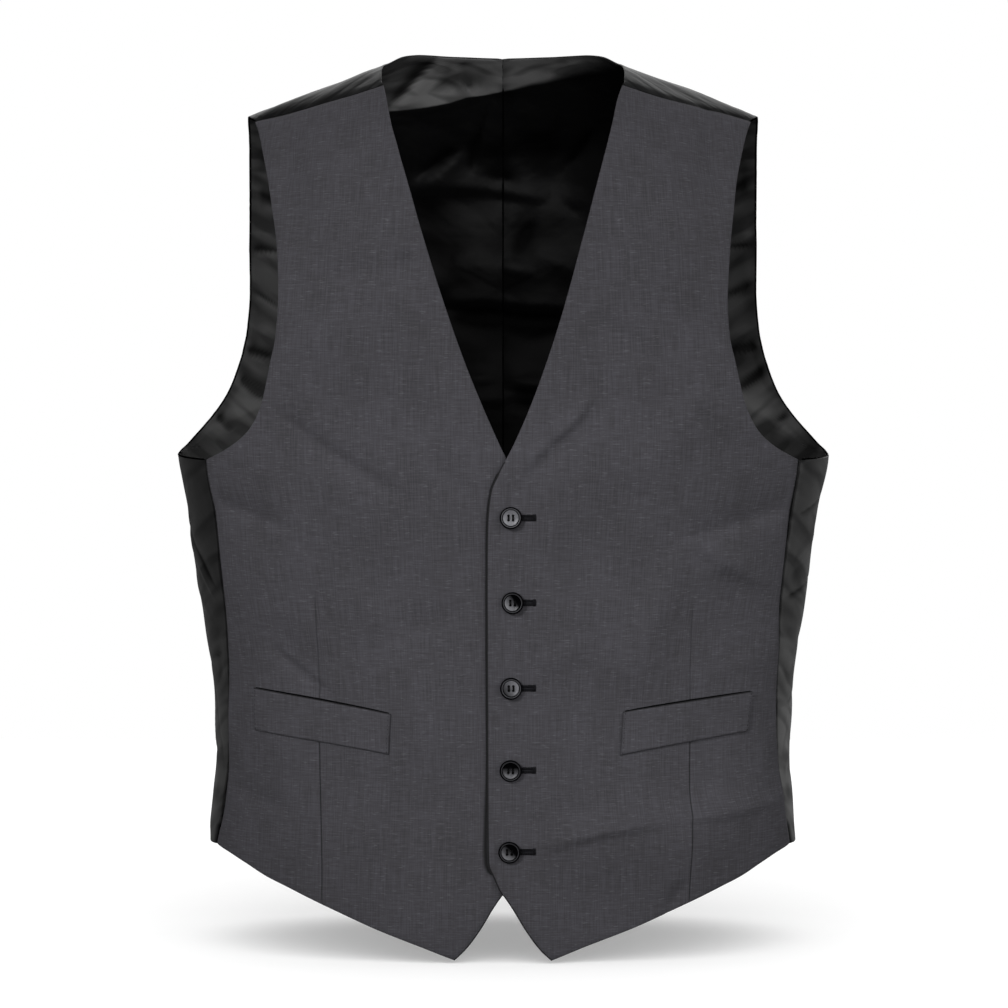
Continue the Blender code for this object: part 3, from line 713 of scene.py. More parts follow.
def gridOf(name, inner, outer, top, bottom):
    # rows run from the inner edge to the outer one, and the end rows follow their own edges
    angles = []
    heights = []
    rowsUpper = len(inner) - 1 - grid["rowsLower"]
    for i in range(len(inner)):
        fraction = fractionsOf((inner[i], outer[i]), name)
        drop = fraction
        if name not in edges["darts"]:
            # the last rows above the underarm drop early, to stay inside the hollow armhole
            early = smoothStep(*grid["earlyDrop"], i / rowsUpper) * (i <= rowsUpper)
            drop = fraction + early * fraction * (1.0 - fraction)
        angles.append(inner[i, 0] + fraction * (outer[i, 0] - inner[i, 0]))
        heights.append(inner[i, 1] + drop * (outer[i, 1] - inner[i, 1]))
    angles = np.array(angles)
    heights = np.array(heights)
    topShift = heightAlong(top, angles[0]) - heights[0]
    bottomShift = heightAlong(bottom, angles[-1]) - heights[-1]
    for i in range(len(inner)):
        upper = max(0.0, 1.0 - i / rowsUpper) ** grid["topHold"]
        lower = max(0.0, (i - rowsUpper) / grid["rowsLower"]) ** grid["bottomHold"]
        heights[i] += upper * topShift + lower * bottomShift
    return angles, heights


def lapOf(name):
    return table("across height", *edges["lapTops"][name], *edges["lapFoot"])


def frontGrid(name):
    inner = joined(
        spread(edgeOf(edges["necklines"][name]), grid["rowsUpper"], False),
        spread(edgeOf(lapOf(name)), grid["rowsLower"], False),
    )
    outer = joined(
        spread(edgeOf(edges["frontArmhole"]), grid["rowsUpper"], False),
        spread(edgeOf(edges["side"]), grid["rowsLower"], False),
    )
    return gridOf(name, inner, outer, edgeOf(edges["shoulderSeam"]), edgeOf(edges["frontHem"]))


def backGrid(name):
    gap = cloth["seamGap"]
    neck = turnedEdge(edges["backNeck"])
    hem = edgeOf(edges["backHem"])
    underarm = edgeOf(table("across height", (gap / 2, edges["side"]["height"][0])))
    centre = np.concatenate([neck[-1:], underarm])
    lowerInner = np.concatenate([underarm, hem[:1]])
    upperOuter = np.concatenate([turnedEdge(edges["backArmholeTop"]), edgeOf(edges["backArmhole"])])
    lowerOuter = edgeOf(edges["side"], pastSide=1.0)
    clear = gap / form["sections"]["front"].mean()
    upperOuter[-1, 0] -= clear
    sprung = smoothStep(grid["ventTop"], grid["ventFoot"], lowerOuter[:, 1])
    lowerOuter[:, 0] += grid["ventTuck"] * sprung - clear
    inner = joined(
        spread(neck, grid["rowsNeck"], True),
        spread(centre, grid["rowsBlade"], True),
        spread(lowerInner, grid["rowsLower"], True),
    )
    outer = joined(
        spread(upperOuter, grid["rowsNeck"] + grid["rowsBlade"], True),
        spread(lowerOuter, grid["rowsLower"], True),
    )
    # the same seam as the front's, reached from behind the shoulder line
    seam = edgeOf(edges["shoulderSeam"])
    _, turn = levelOf(edges["shoulderSeam"]["across"], edges["shoulderSeam"]["height"])
    clear = gap * form["crown"] / form["sections"]["back"].max()
    seam[:, 1] = turnedHeight(edges["shoulderSeam"]["across"], turn) - clear
    inner[0] = seam[0]
    outer[0] = seam[-1]
    hem[-1] = outer[-1]
    return gridOf(name, inner, outer, seam, hem)


def gridNormals(points, outward):
    down = np.gradient(points, axis=0)
    over = np.gradient(points, axis=1)
    normal = np.cross(down, over)
    normal /= np.maximum(np.linalg.norm(normal, axis=-1), 1e-9)[..., None]
    return normal * outward


def toEdges(points):
    # distance of every point of a grid to each of its four edges, along its rows and columns
    over = np.linalg.norm(np.diff(points, axis=1), axis=-1)
    down = np.linalg.norm(np.diff(points, axis=0), axis=-1)
    rows, columns = points.shape[:2]
    left = np.concatenate([np.zeros((rows, 1)), np.cumsum(over, axis=1)], axis=1)
    top = np.concatenate([np.zeros((1, columns)), np.cumsum(down, axis=0)], axis=0)
    return {"inner": left, "outer": left[:, -1:] - left, "top": top, "bottom": top[-1:] - top}


def rimOf(rows, columns):
    rim = [(0, j) for j in range(columns)]
    rim += [(i, columns - 1) for i in range(1, rows)]
    rim += [(rows - 1, j) for j in range(columns - 2, -1, -1)]
    rim += [(i, 0) for i in range(rows - 2, 0, -1)]
    return rim


def shellMesh(name, outer, inner, places, bulge, isFacing, fields=None, arcs=4):
    # a closed shell: its face, its lining and a rounded edge between them;
    # fields are named values of the face's points, or pairs of them for the face and the lining
    rows, columns = outer.shape[:2]
    count = rows * columns
    rim = rimOf(rows, columns)
    loop = np.array([i * columns + j for i, j in rim])
    flatOuter = outer.reshape(-1, 3)
    flatInner = inner.reshape(-1, 3)
    inside = np.array([
        min(max(i, 1), rows - 2) * columns + min(max(j, 1), columns - 2) for i, j in rim
    ])
    away = flatOuter[loop] - flatOuter[inside]
    thick = flatOuter[loop] - flatInner[loop]
    through = thick / np.linalg.norm(thick, axis=1)[:, None]
    away -= through * (away * through).sum(1)[:, None]
    away /= np.linalg.norm(away, axis=1)[:, None]
    middle = (flatOuter[loop] + flatInner[loop]) / 2.0
    verts = [flatOuter, flatInner]
    for k in range(1, arcs):
        turn = math.pi * k / arcs
        verts.append(middle + thick / 2.0 * math.cos(turn) + away * bulge * math.sin(turn))
    verts = np.concatenate(verts) * mm
    flatPlaces = places.reshape(-1, 2)
    uvs = np.concatenate([flatPlaces, flatPlaces] + [flatPlaces[loop]] * (arcs - 1)) * mm
    faces = []
    slots = []
    for i in range(rows - 1):
        for j in range(columns - 1):
            a = i * columns + j
            quad = (a, a + 1, a + columns + 1, a + columns)
            faces.append(quad)
            slots.append(0)
            faces.append(tuple(count + k for k in reversed(quad)))
            slots.append(0 if isFacing[i, j] else 1)
    values = {}
    for key, field in (fields or {}).items():
        face, lining = field if isinstance(field, tuple) else (field, field)
        face = face.ravel()
        values[key] = np.concatenate([face, lining.ravel()] + [face[loop]] * (arcs - 1))
    size = len(loop)
    rings = [loop]
    for k in range(arcs - 1):
        rings.append(2 * count + k * size + np.arange(size))
    rings.append(count + loop)
    for one, two in zip(rings, rings[1:]):
        for k in range(size):
            n = (k + 1) % size
            faces.append((int(one[n]), int(one[k]), int(two[k]), int(two[n])))
            slots.append(0)
    return meshOf(name, verts, faces, uvs, slots, values)


def meshOf(name, verts, faces, uvs=None, slots=None, values=None):
    mesh = bpy.data.meshes.new(name)
    mesh.from_pydata([tuple(v) for v in np.asarray(verts, dtype=float).tolist()], [], faces)
    if slots is not None:
        mesh.polygons.foreach_set("material_index", np.array(slots, dtype=np.int32))
    if uvs is not None:
        corners = np.zeros(len(mesh.loops), dtype=np.int32)
        mesh.loops.foreach_get("vertex_index", corners)
        layer = mesh.uv_layers.new(name="cloth")
        layer.uv.foreach_set("vector", np.asarray(uvs, dtype=np.float32)[corners].ravel())
    for key, value in (values or {}).items():
        layer = mesh.attributes.new(key, "FLOAT", "POINT")
        layer.data.foreach_set("value", np.asarray(value, dtype=np.float32))
    mesh.polygons.foreach_set("use_smooth", np.ones(len(mesh.polygons), dtype=bool))
    mesh.update()
    return mesh


def flipIfInsideOut(mesh):
    # the signed volume says which way the faces look
    mesh.calc_loop_triangles()
    corners = np.zeros(len(mesh.loop_triangles) * 3, dtype=np.int32)
    mesh.loop_triangles.foreach_get("vertices", corners)
    points = np.zeros(len(mesh.vertices) * 3)
    mesh.vertices.foreach_get("co", points)
    a, b, c = points.reshape(-1, 3)[corners.reshape(-1, 3)].transpose(1, 0, 2)
    if np.einsum("ij,ij->i", a, np.cross(b, c)).sum() < 0.0:
        mesh.flip_normals()


waistcoat = bpy.data.collections.new("waistcoat")
bpy.context.scene.collection.children.link(waistcoat)
outerCloth = bpy.data.collections.new("outer cloth and buttons")


def addPiece(name, mesh, materials, slot, replaced=()):
    flipIfInsideOut(mesh)
    for material in materials:
        mesh.materials.append(material)
    piece = bpy.data.objects.new(name, mesh)
    waistcoat.objects.link(piece)
    if slot != "black_satin":
        outerCloth.objects.link(piece)
    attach(piece, "root")
    if replaced:
        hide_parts(*replaced)
    return piece


# materials

def linear(hexColour):
    # an sRGB hex colour as linear values
    channels = [int(hexColour[i:i + 2], 16) / 255.0 for i in (1, 3, 5)]
    return tuple(c / 12.92 if c <= 0.04045 else ((c + 0.055) / 1.055) ** 2.4 for c in channels) + (1.0,)


def addNode(tree, kind, settings, links):
    # a node with its settings, and its inputs linked to (node, output)
    node = tree.nodes.new(kind)
    for key, value in settings.items():
        if isinstance(key, int) or key in node.inputs:
            node.inputs[key].default_value = value
        else:
            setattr(node, key, value)
    for key, (source, output) in links.items():
        tree.links.new(source.outputs[output], node.inputs[key])
    return node


def startMaterial(name, settings):
    material = bpy.data.materials.new(name)
    material.use_nodes = True
    tree = material.node_tree
    shader = tree.nodes["Principled BSDF"]
    for key, value in settings.items():
        shader.inputs[key].default_value = value
    return material, tree, shader


def streaks(tree, place, across, along, seed, noise):
    # noise drawn out along a yarn or a fold, in a place of its own for each seed
    scale = {"operation": "MULTIPLY", 1: (1.0 / across, 1.0 / along, 1.0)}
    scaled = addNode(tree, "ShaderNodeVectorMath", scale, {0: place})
    moved = addNode(tree, "ShaderNodeVectorMath", {1: (seed, 2.7 * seed, 0.0)}, {0: (scaled, 0)})
    flat = {"noise_dimensions": "2D", "Scale": 1.0, **noise}
    return addNode(tree, "ShaderNodeTexNoise", flat, {"Vector": (moved, 0)})


# painted shade along a seam: solid at distance 0, 1 is its width, and faded out at From Max
seamFade = {"interpolation_type": "SMOOTHSTEP", "From Max": 1.7, "To Min": 1.0, "To Max": 0.0}


def seamShade(tree):
    # painted shade along the seams, from the distances and strengths that the mesh holds
    distance = addNode(tree, "ShaderNodeAttribute", {"attribute_name": "seam distance"}, {})
    depth = addNode(tree, "ShaderNodeAttribute", {"attribute_name": "seam shade strength"}, {})
    line = addNode(tree, "ShaderNodeMapRange", seamFade, {"Value": (distance, "Fac")})
    return addNode(tree, "ShaderNodeMath", {"operation": "MULTIPLY"}, {0: (line, 0), 1: (depth, "Fac")})


wool = {
    "dark": "#323134",
    "light": "#414045",
    "fleck": "#5b5a5f",         # the few pale slubs
    "deep": "#0c0c0d",          # painted shade in the seams
    "seam": 0.95,               # how dark a seam's painted shade gets
    "yarn": 0.85 * mm,          # real yarns are 0.4 mm apart, drawn coarser so that they show
    "warpRun": 26.0 * mm,       # how far one thick stretch of yarn runs
    "weftRun": 17.0 * mm,
    "yarnNoise": {"Detail": 3.0, "Roughness": 0.6},
    "patch": (44.0 * mm, 66.0 * mm),        # slow changes of tone
    "patchNoise": {"Detail": 2.5, "Roughness": 0.6},
    "patchDepth": 0.7,
    "slub": (7.0 * mm, 0.9 * mm),
    "slubNoise": {"Detail": 1.0, "Roughness": 0.6},
    "yarnTones": {"From Min": 0.36, "From Max": 0.64},
    "slubTones": {"From Min": 0.66, "From Max": 0.74, "To Max": 0.35},      # only the palest few show
    "bump": {"Strength": 0.35, "Distance": 0.12 * mm},
}


def makeWool():
    # Worsted wool suiting, plain woven from uneven mid and dark grey yarns: matt, with fine
    # light and dark dashes both ways and a faint halo of fibre at grazing angles.
    material, tree, shader = startMaterial("worsted wool", {
        "Roughness": 0.82,
        "IOR": 1.5,
        "Specular IOR Level": 0.22,
        "Sheen Weight": 0.08,
        "Sheen Roughness": 0.45,
        "Sheen Tint": linear("#b9b8c0"),
    })
    place = addNode(tree, "ShaderNodeUVMap", {"uv_map": "cloth"}, {}), "UV"
    warp = streaks(tree, place, wool["yarn"], wool["warpRun"], 4.0, wool["yarnNoise"])
    weft = streaks(tree, place, wool["weftRun"], wool["yarn"], 9.0, wool["yarnNoise"])
    patches = streaks(tree, place, *wool["patch"], 2.0, wool["patchNoise"])
    slubs = streaks(tree, place, *wool["slub"], 21.0, wool["slubNoise"])
    both = addNode(tree, "ShaderNodeMath", {}, {0: (warp, 0), 1: (weft, 0)})
    half = addNode(tree, "ShaderNodeMath", {"operation": "MULTIPLY", 1: 0.5}, {0: (both, 0)})
    yarns = addNode(tree, "ShaderNodeMapRange", wool["yarnTones"], {"Value": (half, 0)})
    soften = {"operation": "MULTIPLY", 1: wool["patchDepth"]}
    soft = addNode(tree, "ShaderNodeMath", soften, {0: (patches, 0)})
    tone = addNode(tree, "ShaderNodeMath", {}, {0: (yarns, 0), 1: (soft, 0)})
    centred = addNode(tree, "ShaderNodeMath", {1: -wool["patchDepth"] / 2.0}, {0: (tone, 0)})
    greys = {"data_type": "RGBA", 6: linear(wool["dark"]), 7: linear(wool["light"])}
    colour = addNode(tree, "ShaderNodeMix", greys, {0: (centred, 0)})
    rare = addNode(tree, "ShaderNodeMapRange", wool["slubTones"], {"Value": (slubs, 0)})
    fleck = {"data_type": "RGBA", 7: linear(wool["fleck"])}
    flecked = addNode(tree, "ShaderNodeMix", fleck, {0: (rare, 0), 6: (colour, 2)})
    # painted shadow that the over front throws beside its edge, and painted shade along the seams
    lap = addNode(tree, "ShaderNodeAttribute", {"attribute_name": "lap distance"}, {})
    off = addNode(tree, "ShaderNodeMath", {"operation": "ABSOLUTE"}, {0: (lap, "Fac")})
    lapLine = addNode(tree, "ShaderNodeMapRange", seamFade, {"Value": (off, 0)})
    darker = {0: (seamShade(tree), 0), 1: (lapLine, 0)}
    lines = addNode(tree, "ShaderNodeMath", {"operation": "MAXIMUM"}, darker)
    amount = addNode(tree, "ShaderNodeMath", {"operation": "MULTIPLY", 1: wool["seam"]}, {0: (lines, 0)})
    deep = {"data_type": "RGBA", 7: linear(wool["deep"])}
    shaded = addNode(tree, "ShaderNodeMix", deep, {0: (amount, 0), 6: (flecked, 2)})
    tree.links.new(shaded.outputs[2], shader.inputs["Base Color"])
    bump = addNode(tree, "ShaderNodeBump", wool["bump"], {"Height": (half, 0)})
    tree.links.new(bump.outputs[0], shader.inputs["Normal"])
    return material


satin = {
    "dark": "#070708",
    "light": "#0f0f10",
    "paintedLight": "#747474",         # painted light, where light falls in
    "deep": "#020202",          # painted shade in seams and troughs
    "thread": 0.9 * mm,         # real threads are 0.1 mm apart, drawn coarser so that they show
    "threadRun": 30.0 * mm,
    "threadNoise": {"Detail": 2.0, "Roughness": 0.6},
    "threadShare": 0.3,
    "crumple": (16.0 * mm, 11.0 * mm),
    "crumpleNoise": {"Detail": 1.5, "Roughness": 0.6},
    "crumpleShare": 0.7,
    "slant": -32.0,             # degrees, of the soft folds that mottle it
    "fold": (40.0 * mm, 12.0 * mm),
    "foldNoise": {"Detail": 0.8, "Roughness": 0.45, "Distortion": 0.3},
    "foldTones": {"From Min": 0.36, "From Max": 0.64, "To Min": 0.5, "To Max": 1.3},
    "facingEdge": {"interpolation_type": "SMOOTHSTEP", "From Min": -0.7, "From Max": 0.7},
    "threadBump": {"Strength": 0.12, "Distance": 0.1 * mm},
    "crumpleBump": {"Strength": 0.4, "Distance": 0.9 * mm},
    "foldHeight": 2.2 * mm,
}


def makeSatin(name, roughness, gloss, folded):
    # Viscose satin, dyed black: long floats give it a soft broad sheen that breaks over every
    # small pucker, and the warp shows as faint upright lines. Its paleness where light falls in is
    # painted light, and its darkness in seams and troughs painted shade.
    material, tree, shader = startMaterial(name, {
        "Roughness": roughness,
        "IOR": 1.48,
        "Anisotropic": 0.3,
    })
    place = addNode(tree, "ShaderNodeUVMap", {"uv_map": "cloth"}, {}), "UV"
    warp = streaks(tree, place, satin["thread"], satin["threadRun"], 5.0, satin["threadNoise"])
    crumple = streaks(tree, place, *satin["crumple"], 13.0, satin["crumpleNoise"])
    puckers = {"operation": "MULTIPLY", 1: satin["crumpleShare"]}
    puckered = addNode(tree, "ShaderNodeMath", puckers, {0: (crumple, 0)})
    threads = {"operation": "MULTIPLY", 1: satin["threadShare"]}
    threaded = addNode(tree, "ShaderNodeMath", threads, {0: (warp, 0)})
    tone = addNode(tree, "ShaderNodeMath", {}, {0: (puckered, 0), 1: (threaded, 0)})
    blacks = {"data_type": "RGBA", 6: linear(satin["dark"]), 7: linear(satin["light"])}
    colour = addNode(tree, "ShaderNodeMix", blacks, {0: (tone, 0)})
    facing = addNode(tree, "ShaderNodeAttribute", {"attribute_name": "facing side"}, {})
    isFacing = addNode(tree, "ShaderNodeMapRange", satin["facingEdge"], {"Value": (facing, "Fac")})
    turn = {"rotation_type": "Z_AXIS", "Angle": math.radians(satin["slant"])}
    turned = addNode(tree, "ShaderNodeVectorRotate", turn, {"Vector": place})
    slant = streaks(tree, (turned, 0), *satin["fold"], 31.0, satin["foldNoise"])
    uneven = addNode(tree, "ShaderNodeMapRange", satin["foldTones"], {"Value": (slant, 0)})
    # painted light: the satin is paler where the mesh says light falls in, mottled by the soft folds
    paintedLight = addNode(tree, "ShaderNodeAttribute", {"attribute_name": "satin painted light"}, {})
    paler = addNode(tree, "ShaderNodeMath", {"operation": "MULTIPLY"}, {0: (paintedLight, "Fac"), 1: (isFacing, 0)})
    mottled = addNode(tree, "ShaderNodeMath", {"operation": "MULTIPLY"}, {0: (paler, 0), 1: (uneven, 0)})
    pale = {"data_type": "RGBA", 7: linear(satin["paintedLight"])}
    withPaintedLight = addNode(tree, "ShaderNodeMix", pale, {0: (mottled, 0), 6: (colour, 2)})
    # painted shade: darker in the troughs, deep inside the neck and along the seams
    hollow = addNode(tree, "ShaderNodeAttribute", {"attribute_name": "hollow"}, {})
    darker = {0: (seamShade(tree), 0), 1: (hollow, "Fac")}
    amount = addNode(tree, "ShaderNodeMath", {"operation": "MAXIMUM"}, darker)
    deep = {"data_type": "RGBA", 7: linear(satin["deep"])}
    shaded = addNode(tree, "ShaderNodeMix", deep, {0: (amount, 0), 6: (withPaintedLight, 2)})
    tree.links.new(shaded.outputs[2], shader.inputs["Base Color"])
    shine = addNode(tree, "ShaderNodeMapRange", {"To Min": gloss, "To Max": 0.0}, {"Value": (amount, 0)})
    tree.links.new(shine.outputs[0], shader.inputs["Specular IOR Level"])
    fine = addNode(tree, "ShaderNodeBump", satin["threadBump"], {"Height": (warp, 0)})
    over = {"Height": (crumple, 0), "Normal": (fine, 0)}
    small = addNode(tree, "ShaderNodeBump", satin["crumpleBump"], over)
    large = {"Strength": folded, "Distance": satin["foldHeight"]}
    bump = addNode(tree, "ShaderNodeBump", large, {"Height": (slant, 0), "Normal": (small, 0)})
    tree.links.new(bump.outputs[0], shader.inputs["Normal"])
    return material


resin = {
    "dark": "#020203",
    # the pale grey of the smoky marbling, and of the painted reflection in the dish
    "smokeAndReflection": "#77777c",
    "swirl": {"Scale": 420.0, "Detail": 2.0, "Distortion": 1.2},        # marbling about 2 mm wide
    "cloud": {"From Min": 0.3, "From Max": 0.7, "To Min": 0.75},
    "polish": {"From Max": 0.5, "To Min": 0.02, "To Max": 0.32},
}


def makeResin():
    # Polyester resin button, cast smoky and tumbled, with a soft polish: black at the rim, with
    # smoky marbling in the dish. The dish's paleness is painted reflection, and the thin pale ring
    # round it a painted highlight.
    material, tree, shader = startMaterial("smoky resin", {
        "Roughness": 0.36,
        "IOR": 1.52,
    })
    place = addNode(tree, "ShaderNodeTexCoord", {}, {})
    swirl = addNode(tree, "ShaderNodeTexNoise", resin["swirl"], {"Vector": (place, "Object")})
    smokeAndReflection = addNode(tree, "ShaderNodeAttribute", {"attribute_name": "smokeAndReflection"}, {})
    cloud = addNode(tree, "ShaderNodeMapRange", resin["cloud"], {"Value": (swirl, 0)})
    both = {0: (smokeAndReflection, "Fac"), 1: (cloud, 0)}
    amount = addNode(tree, "ShaderNodeMath", {"operation": "MULTIPLY"}, both)
    greys = {"data_type": "RGBA", 6: linear(resin["dark"]), 7: linear(resin["smokeAndReflection"])}
    colour = addNode(tree, "ShaderNodeMix", greys, {0: (amount, 0)})
    tree.links.new(colour.outputs[2], shader.inputs["Base Color"])
    shine = addNode(tree, "ShaderNodeMapRange", resin["polish"], {"Value": (amount, 0)})
    tree.links.new(shine.outputs[0], shader.inputs["Specular IOR Level"])
    return material


threadFinish = {
    "twist": {"Scale": 2600.0, "Detail": 1.0},      # strands about 0.4 mm apart
    "bump": {"Strength": 0.4, "Distance": 0.08 * mm},
}


def makeThread(name, dark, light):
    # Twisted polyester cord, or the frayed edge of cut wool: nearly black and matt, because
    # its strands break up the light.
    material, tree, shader = startMaterial(name, {
        "Roughness": 0.8,
        "IOR": 1.5,
        "Specular IOR Level": 0.08,
    })
    place = addNode(tree, "ShaderNodeTexCoord", {}, {})
    twist = addNode(tree, "ShaderNodeTexNoise", threadFinish["twist"], {"Vector": (place, "Object")})
    greys = {"data_type": "RGBA", 6: linear(dark), 7: linear(light)}
    colour = addNode(tree, "ShaderNodeMix", greys, {0: (twist, 0)})
    tree.links.new(colour.outputs[2], shader.inputs["Base Color"])
    bump = addNode(tree, "ShaderNodeBump", threadFinish["bump"], {"Height": (twist, 0)})
    tree.links.new(bump.outputs[0], shader.inputs["Normal"])
    return material


materials = {
    "wool": makeWool(),
    "satin": makeSatin("black satin", 0.42, 0.24, 0.3),
    "lining": makeSatin("black lining", 0.4, 0.2, 0.22),
    "resin": makeResin(),
    "cord": makeThread("button thread", "#020203", "#0d0d0e"),
    "hole": makeThread("buttonhole cord", "#08080a", "#17171a"),
    "cut": makeThread("cut edge of the cloth", "#1c1c1f", "#2c2c30"),
}
print("materials made")


# the fronts and the back

panel = {
    "edgeBulge": 0.55,          # how far a finished edge rounds out
    "satinBulge": 0.62,
    "satinShadeWidth": 0.5,
    "seamDip": 0.7,             # the cloth sinks into a seam
    "seamWidth": 1.6,
    "pressWidth": 1.8,          # a finished edge is pressed thinner over this width
    "press": 0.2,
    "turning": 9.0,             # the wool turns in over the lining by this much
    "puckerDepth": 0.32,        # small gathers along the satin's seams
    "puckerReach": 10.0,
    "puckerLength": 9.5,
    "puckerLean": 0.5,
    "puckerDrift": (2.3, 0.31),         # how far their beat drifts, and how often
    "puckerFade": 0.173,        # how often they come and go
    "puckerArmhole": 0.3,       # share of them along the armhole
    "shadeWidth": 0.9,          # painted shade darkens the cloth this near to a seam
    "dartShadeWidth": 0.42,
    "dartShadeFoot": (-12.0, -6.0),     # its line fades in between these heights from its foot
    "dartShadeHead": (-8.0, 0.0),       # and out between these from its head
    "dartShadeDepth": 0.9,
    "dartShadeLoss": 0.5,       # it is fainter by this much above the pocket
    "pocketHeights": (-470.0, -440.0),
    "edgeShadeWidth": 0.5,
    "lapShadeWidth": 0.8,
    "lapShadeSpread": 1.1,      # and this much wider at the foot of the lap
    "lapShadeWidens": (-470.0, -540.0),
    "lapShadeFoot": (-550.0, -556.0),   # it ends between these heights below
    "lapShadeHead": (-280.0, -268.0),   # and between these above
    "ventTop": -520.0,          # painted shade darkens the open vent below this height
    "ventFade": 9.0,
    "ventShade": 3.2,
    "ventSides": (1.5, 0.5),    # times this, more of it on the left
    "ventDip": 0.9,             # and the back lies this much deeper there
    "ventDipWidth": 2.5,
    "sideSeamDepth": 0.6,       # how dark the painted shade of the side seams is above the vents
    "facingCover": 0.7,         # how much of the centre seam's painted shade the facing hides
    "seamThins": 1.6,           # the back's wall loses this much of a seam's dip
    "hollow": 0.75,             # how dark the painted shade in the lining's troughs is
    "hollowRise": 1.0,          # at this depth below the folds round them
    "hollowRounds": 40,
    "deepInside": 0.55,         # and how dark the painted shade is far down inside the neck
    "deepHeights": (-95.0, -190.0),
    "besideFronts": (232.0, 262.0),     # the painted shade of the outside's troughs starts between these, round the body
    "calmReach": 14.0,          # creases grow to their full height this far from an edge
    "calmEdge": 0.12,           # and this share of them is left at it
    "sideCalm": 0.5,            # they lose this share where the cloth turns the side
    "sideReach": 24.0,
}


farOff = 99.0                   # further than any edge that counts
faded = 9.0                     # a distance in line widths at which a seam's dark line has gone


def nearSeam(distance):
    return np.exp(-(distance / panel["seamWidth"]) ** 1.5)


def makeFront(name, side):
    skin, _ = skinOf(name)
    angles, heights = frontGrid(name)
    points = skin(angles, heights)
    far = toEdges(points)
    relief = reliefOf(name, points, angles, heights) + dartRise(name, points[..., 0], points[..., 2])
    level = points[..., 2]
    # painted shade along the dart, fading in at its foot, out at its head, fainter above the pocket
    foot, head = cloth["dartEnds"][name]
    begins, full = panel["dartShadeFoot"]
    fades, ends = panel["dartShadeHead"]
    reach = smoothStep(foot + begins, foot + full, level)
    reach = reach * (1.0 - smoothStep(head + fades, head + ends, level))
    loss = panel["dartShadeLoss"] * smoothStep(*panel["pocketHeights"], level)
    depth = reach * (panel["dartShadeDepth"] - loss)
    dart = np.abs(points[..., 0] - dartLine(name, level)) / panel["dartShadeWidth"]
    points = points + gridNormals(points, 1.0) * relief[..., None]
    normals = gridNormals(points, 1.0)
    lower = (np.arange(points.shape[0]) >= grid["rowsUpper"])[:, None]
    dip = panel["seamDip"] * (nearSeam(far["top"]) + lower * nearSeam(far["outer"]))
    finished = np.minimum(np.minimum(far["inner"], far["bottom"]), np.where(lower, farOff, far["outer"]))
    press = panel["press"] * np.exp(-finished / panel["pressWidth"])
    seam = np.minimum(far["top"], np.where(lower, far["outer"], farOff)) / panel["shadeWidth"]
    seam = np.minimum(seam, np.where(lower, far["inner"], farOff) / panel["edgeShadeWidth"])
    # painted shade in the colour: along the seams and the dart, and beside the lap's edge on the under front
    fields = {
        "seam distance": np.minimum(np.minimum(seam, dart), faded),
        "seam shade strength": np.where(dart < seam, depth, 1.0),
        "lap distance": np.full_like(dart, faded),
    }
    # painted shadow of the over front's edge, on the under front beside it
    if name == "front_right":
        lap = lapOf("front_left")
        level = points[..., 2]
        width = panel["lapShadeWidth"] + panel["lapShadeSpread"] * smoothStep(*panel["lapShadeWidens"], level)
        under = points[..., 0] + np.interp(-level, -lap["height"], lap["across"]) - width
        beyond = smoothStep(*panel["lapShadeFoot"], level) + smoothStep(*panel["lapShadeHead"], level)
        fields["lap distance"] = np.clip(under / width, -faded, faded) + faded * beyond
    points = points - normals * (dip + press)[..., None]
    wall = cloth["frontWall"] - dip - 2.0 * press
    lining = points - normals * wall[..., None]
    places = np.stack([aroundOf(angles, False), heights], axis=-1)
    facing = (finished < panel["turning"])[:-1, :-1]
    mirror = np.array([side, 1.0, 1.0])
    bulge = panel["edgeBulge"]
    mesh = shellMesh(name + "_cloth", points * mirror, lining * mirror, places, bulge, facing, fields)
    front = addPiece(name + "_wool", mesh, [materials["wool"], materials["lining"]], "charcoal_wool", (name,))
    return front


bands = {
    "lower": table(             # lower edge of the painted light on the facing inside the neck
        "across height",
        (-92.0, -30.0),
        (-74.0, -28.6),
        (-56.0, -26.2),
        (-37.5, -22.6),
        (-26.5, -19.0),
        (-13.0, -17.0),
        (0.0, -14.4),
        (9.0, -12.4),
        (20.0, -9.0),
        (30.0, -7.2),
        (50.0, -2.0),
        (72.0, 1.8),
        (92.0, 5.0),
    ),
    "fold": ((-45.0, 9.0), (-82.0, -27.0)),     # across and height of the fold that ends it on the right
    "reach": 114.0,             # it goes this far round the back
    "softens": 0.1,             # its lower edge softens by this much a millimetre towards the left
}

# Painted light, how pale the satin is where light falls in. Pairs are the places, round the body,
# or the heights between which it changes.
sheen = {
    "pastFold": 0.3,            # share of the facing's paleness beyond its fold
    "foldEdge": (-2.5, 2.5),
    "facingLoss": 0.45,         # share that it loses towards the left
    "facingDims": (30.0, 66.0),
    "sides": (118.0, 165.0),    # the inner sides, seen through the armholes
    "sidesHigh": 0.34,
    "sidesLow": (0.3, 0.06),    # more of it low down, and more still on the left
    "sidesHeights": (-190.0, -250.0),
    "strips": (205.0, 245.0),   # the outer sides, which show beside the fronts
    "stripsHigh": 0.3,
    "stripsLow": 0.42,
    "stripsHeights": (-290.0, -480.0),
    "stripsLoss": 0.55,         # share that they lose as they turn away
    "stripsTurn": (268.0, 322.0),
}


def facingSide(across, around, level):
    # how far above the facing's lower edge a point lies; the sides count as far above
    line = np.interp(across, bands["lower"]["across"], bands["lower"]["height"])
    soft = 1.0 + bands["softens"] * np.maximum(across, 0.0)
    within = np.abs(around) < bands["reach"]
    return np.where(within, np.clip((level - line) / soft, -faded, faded), faded)


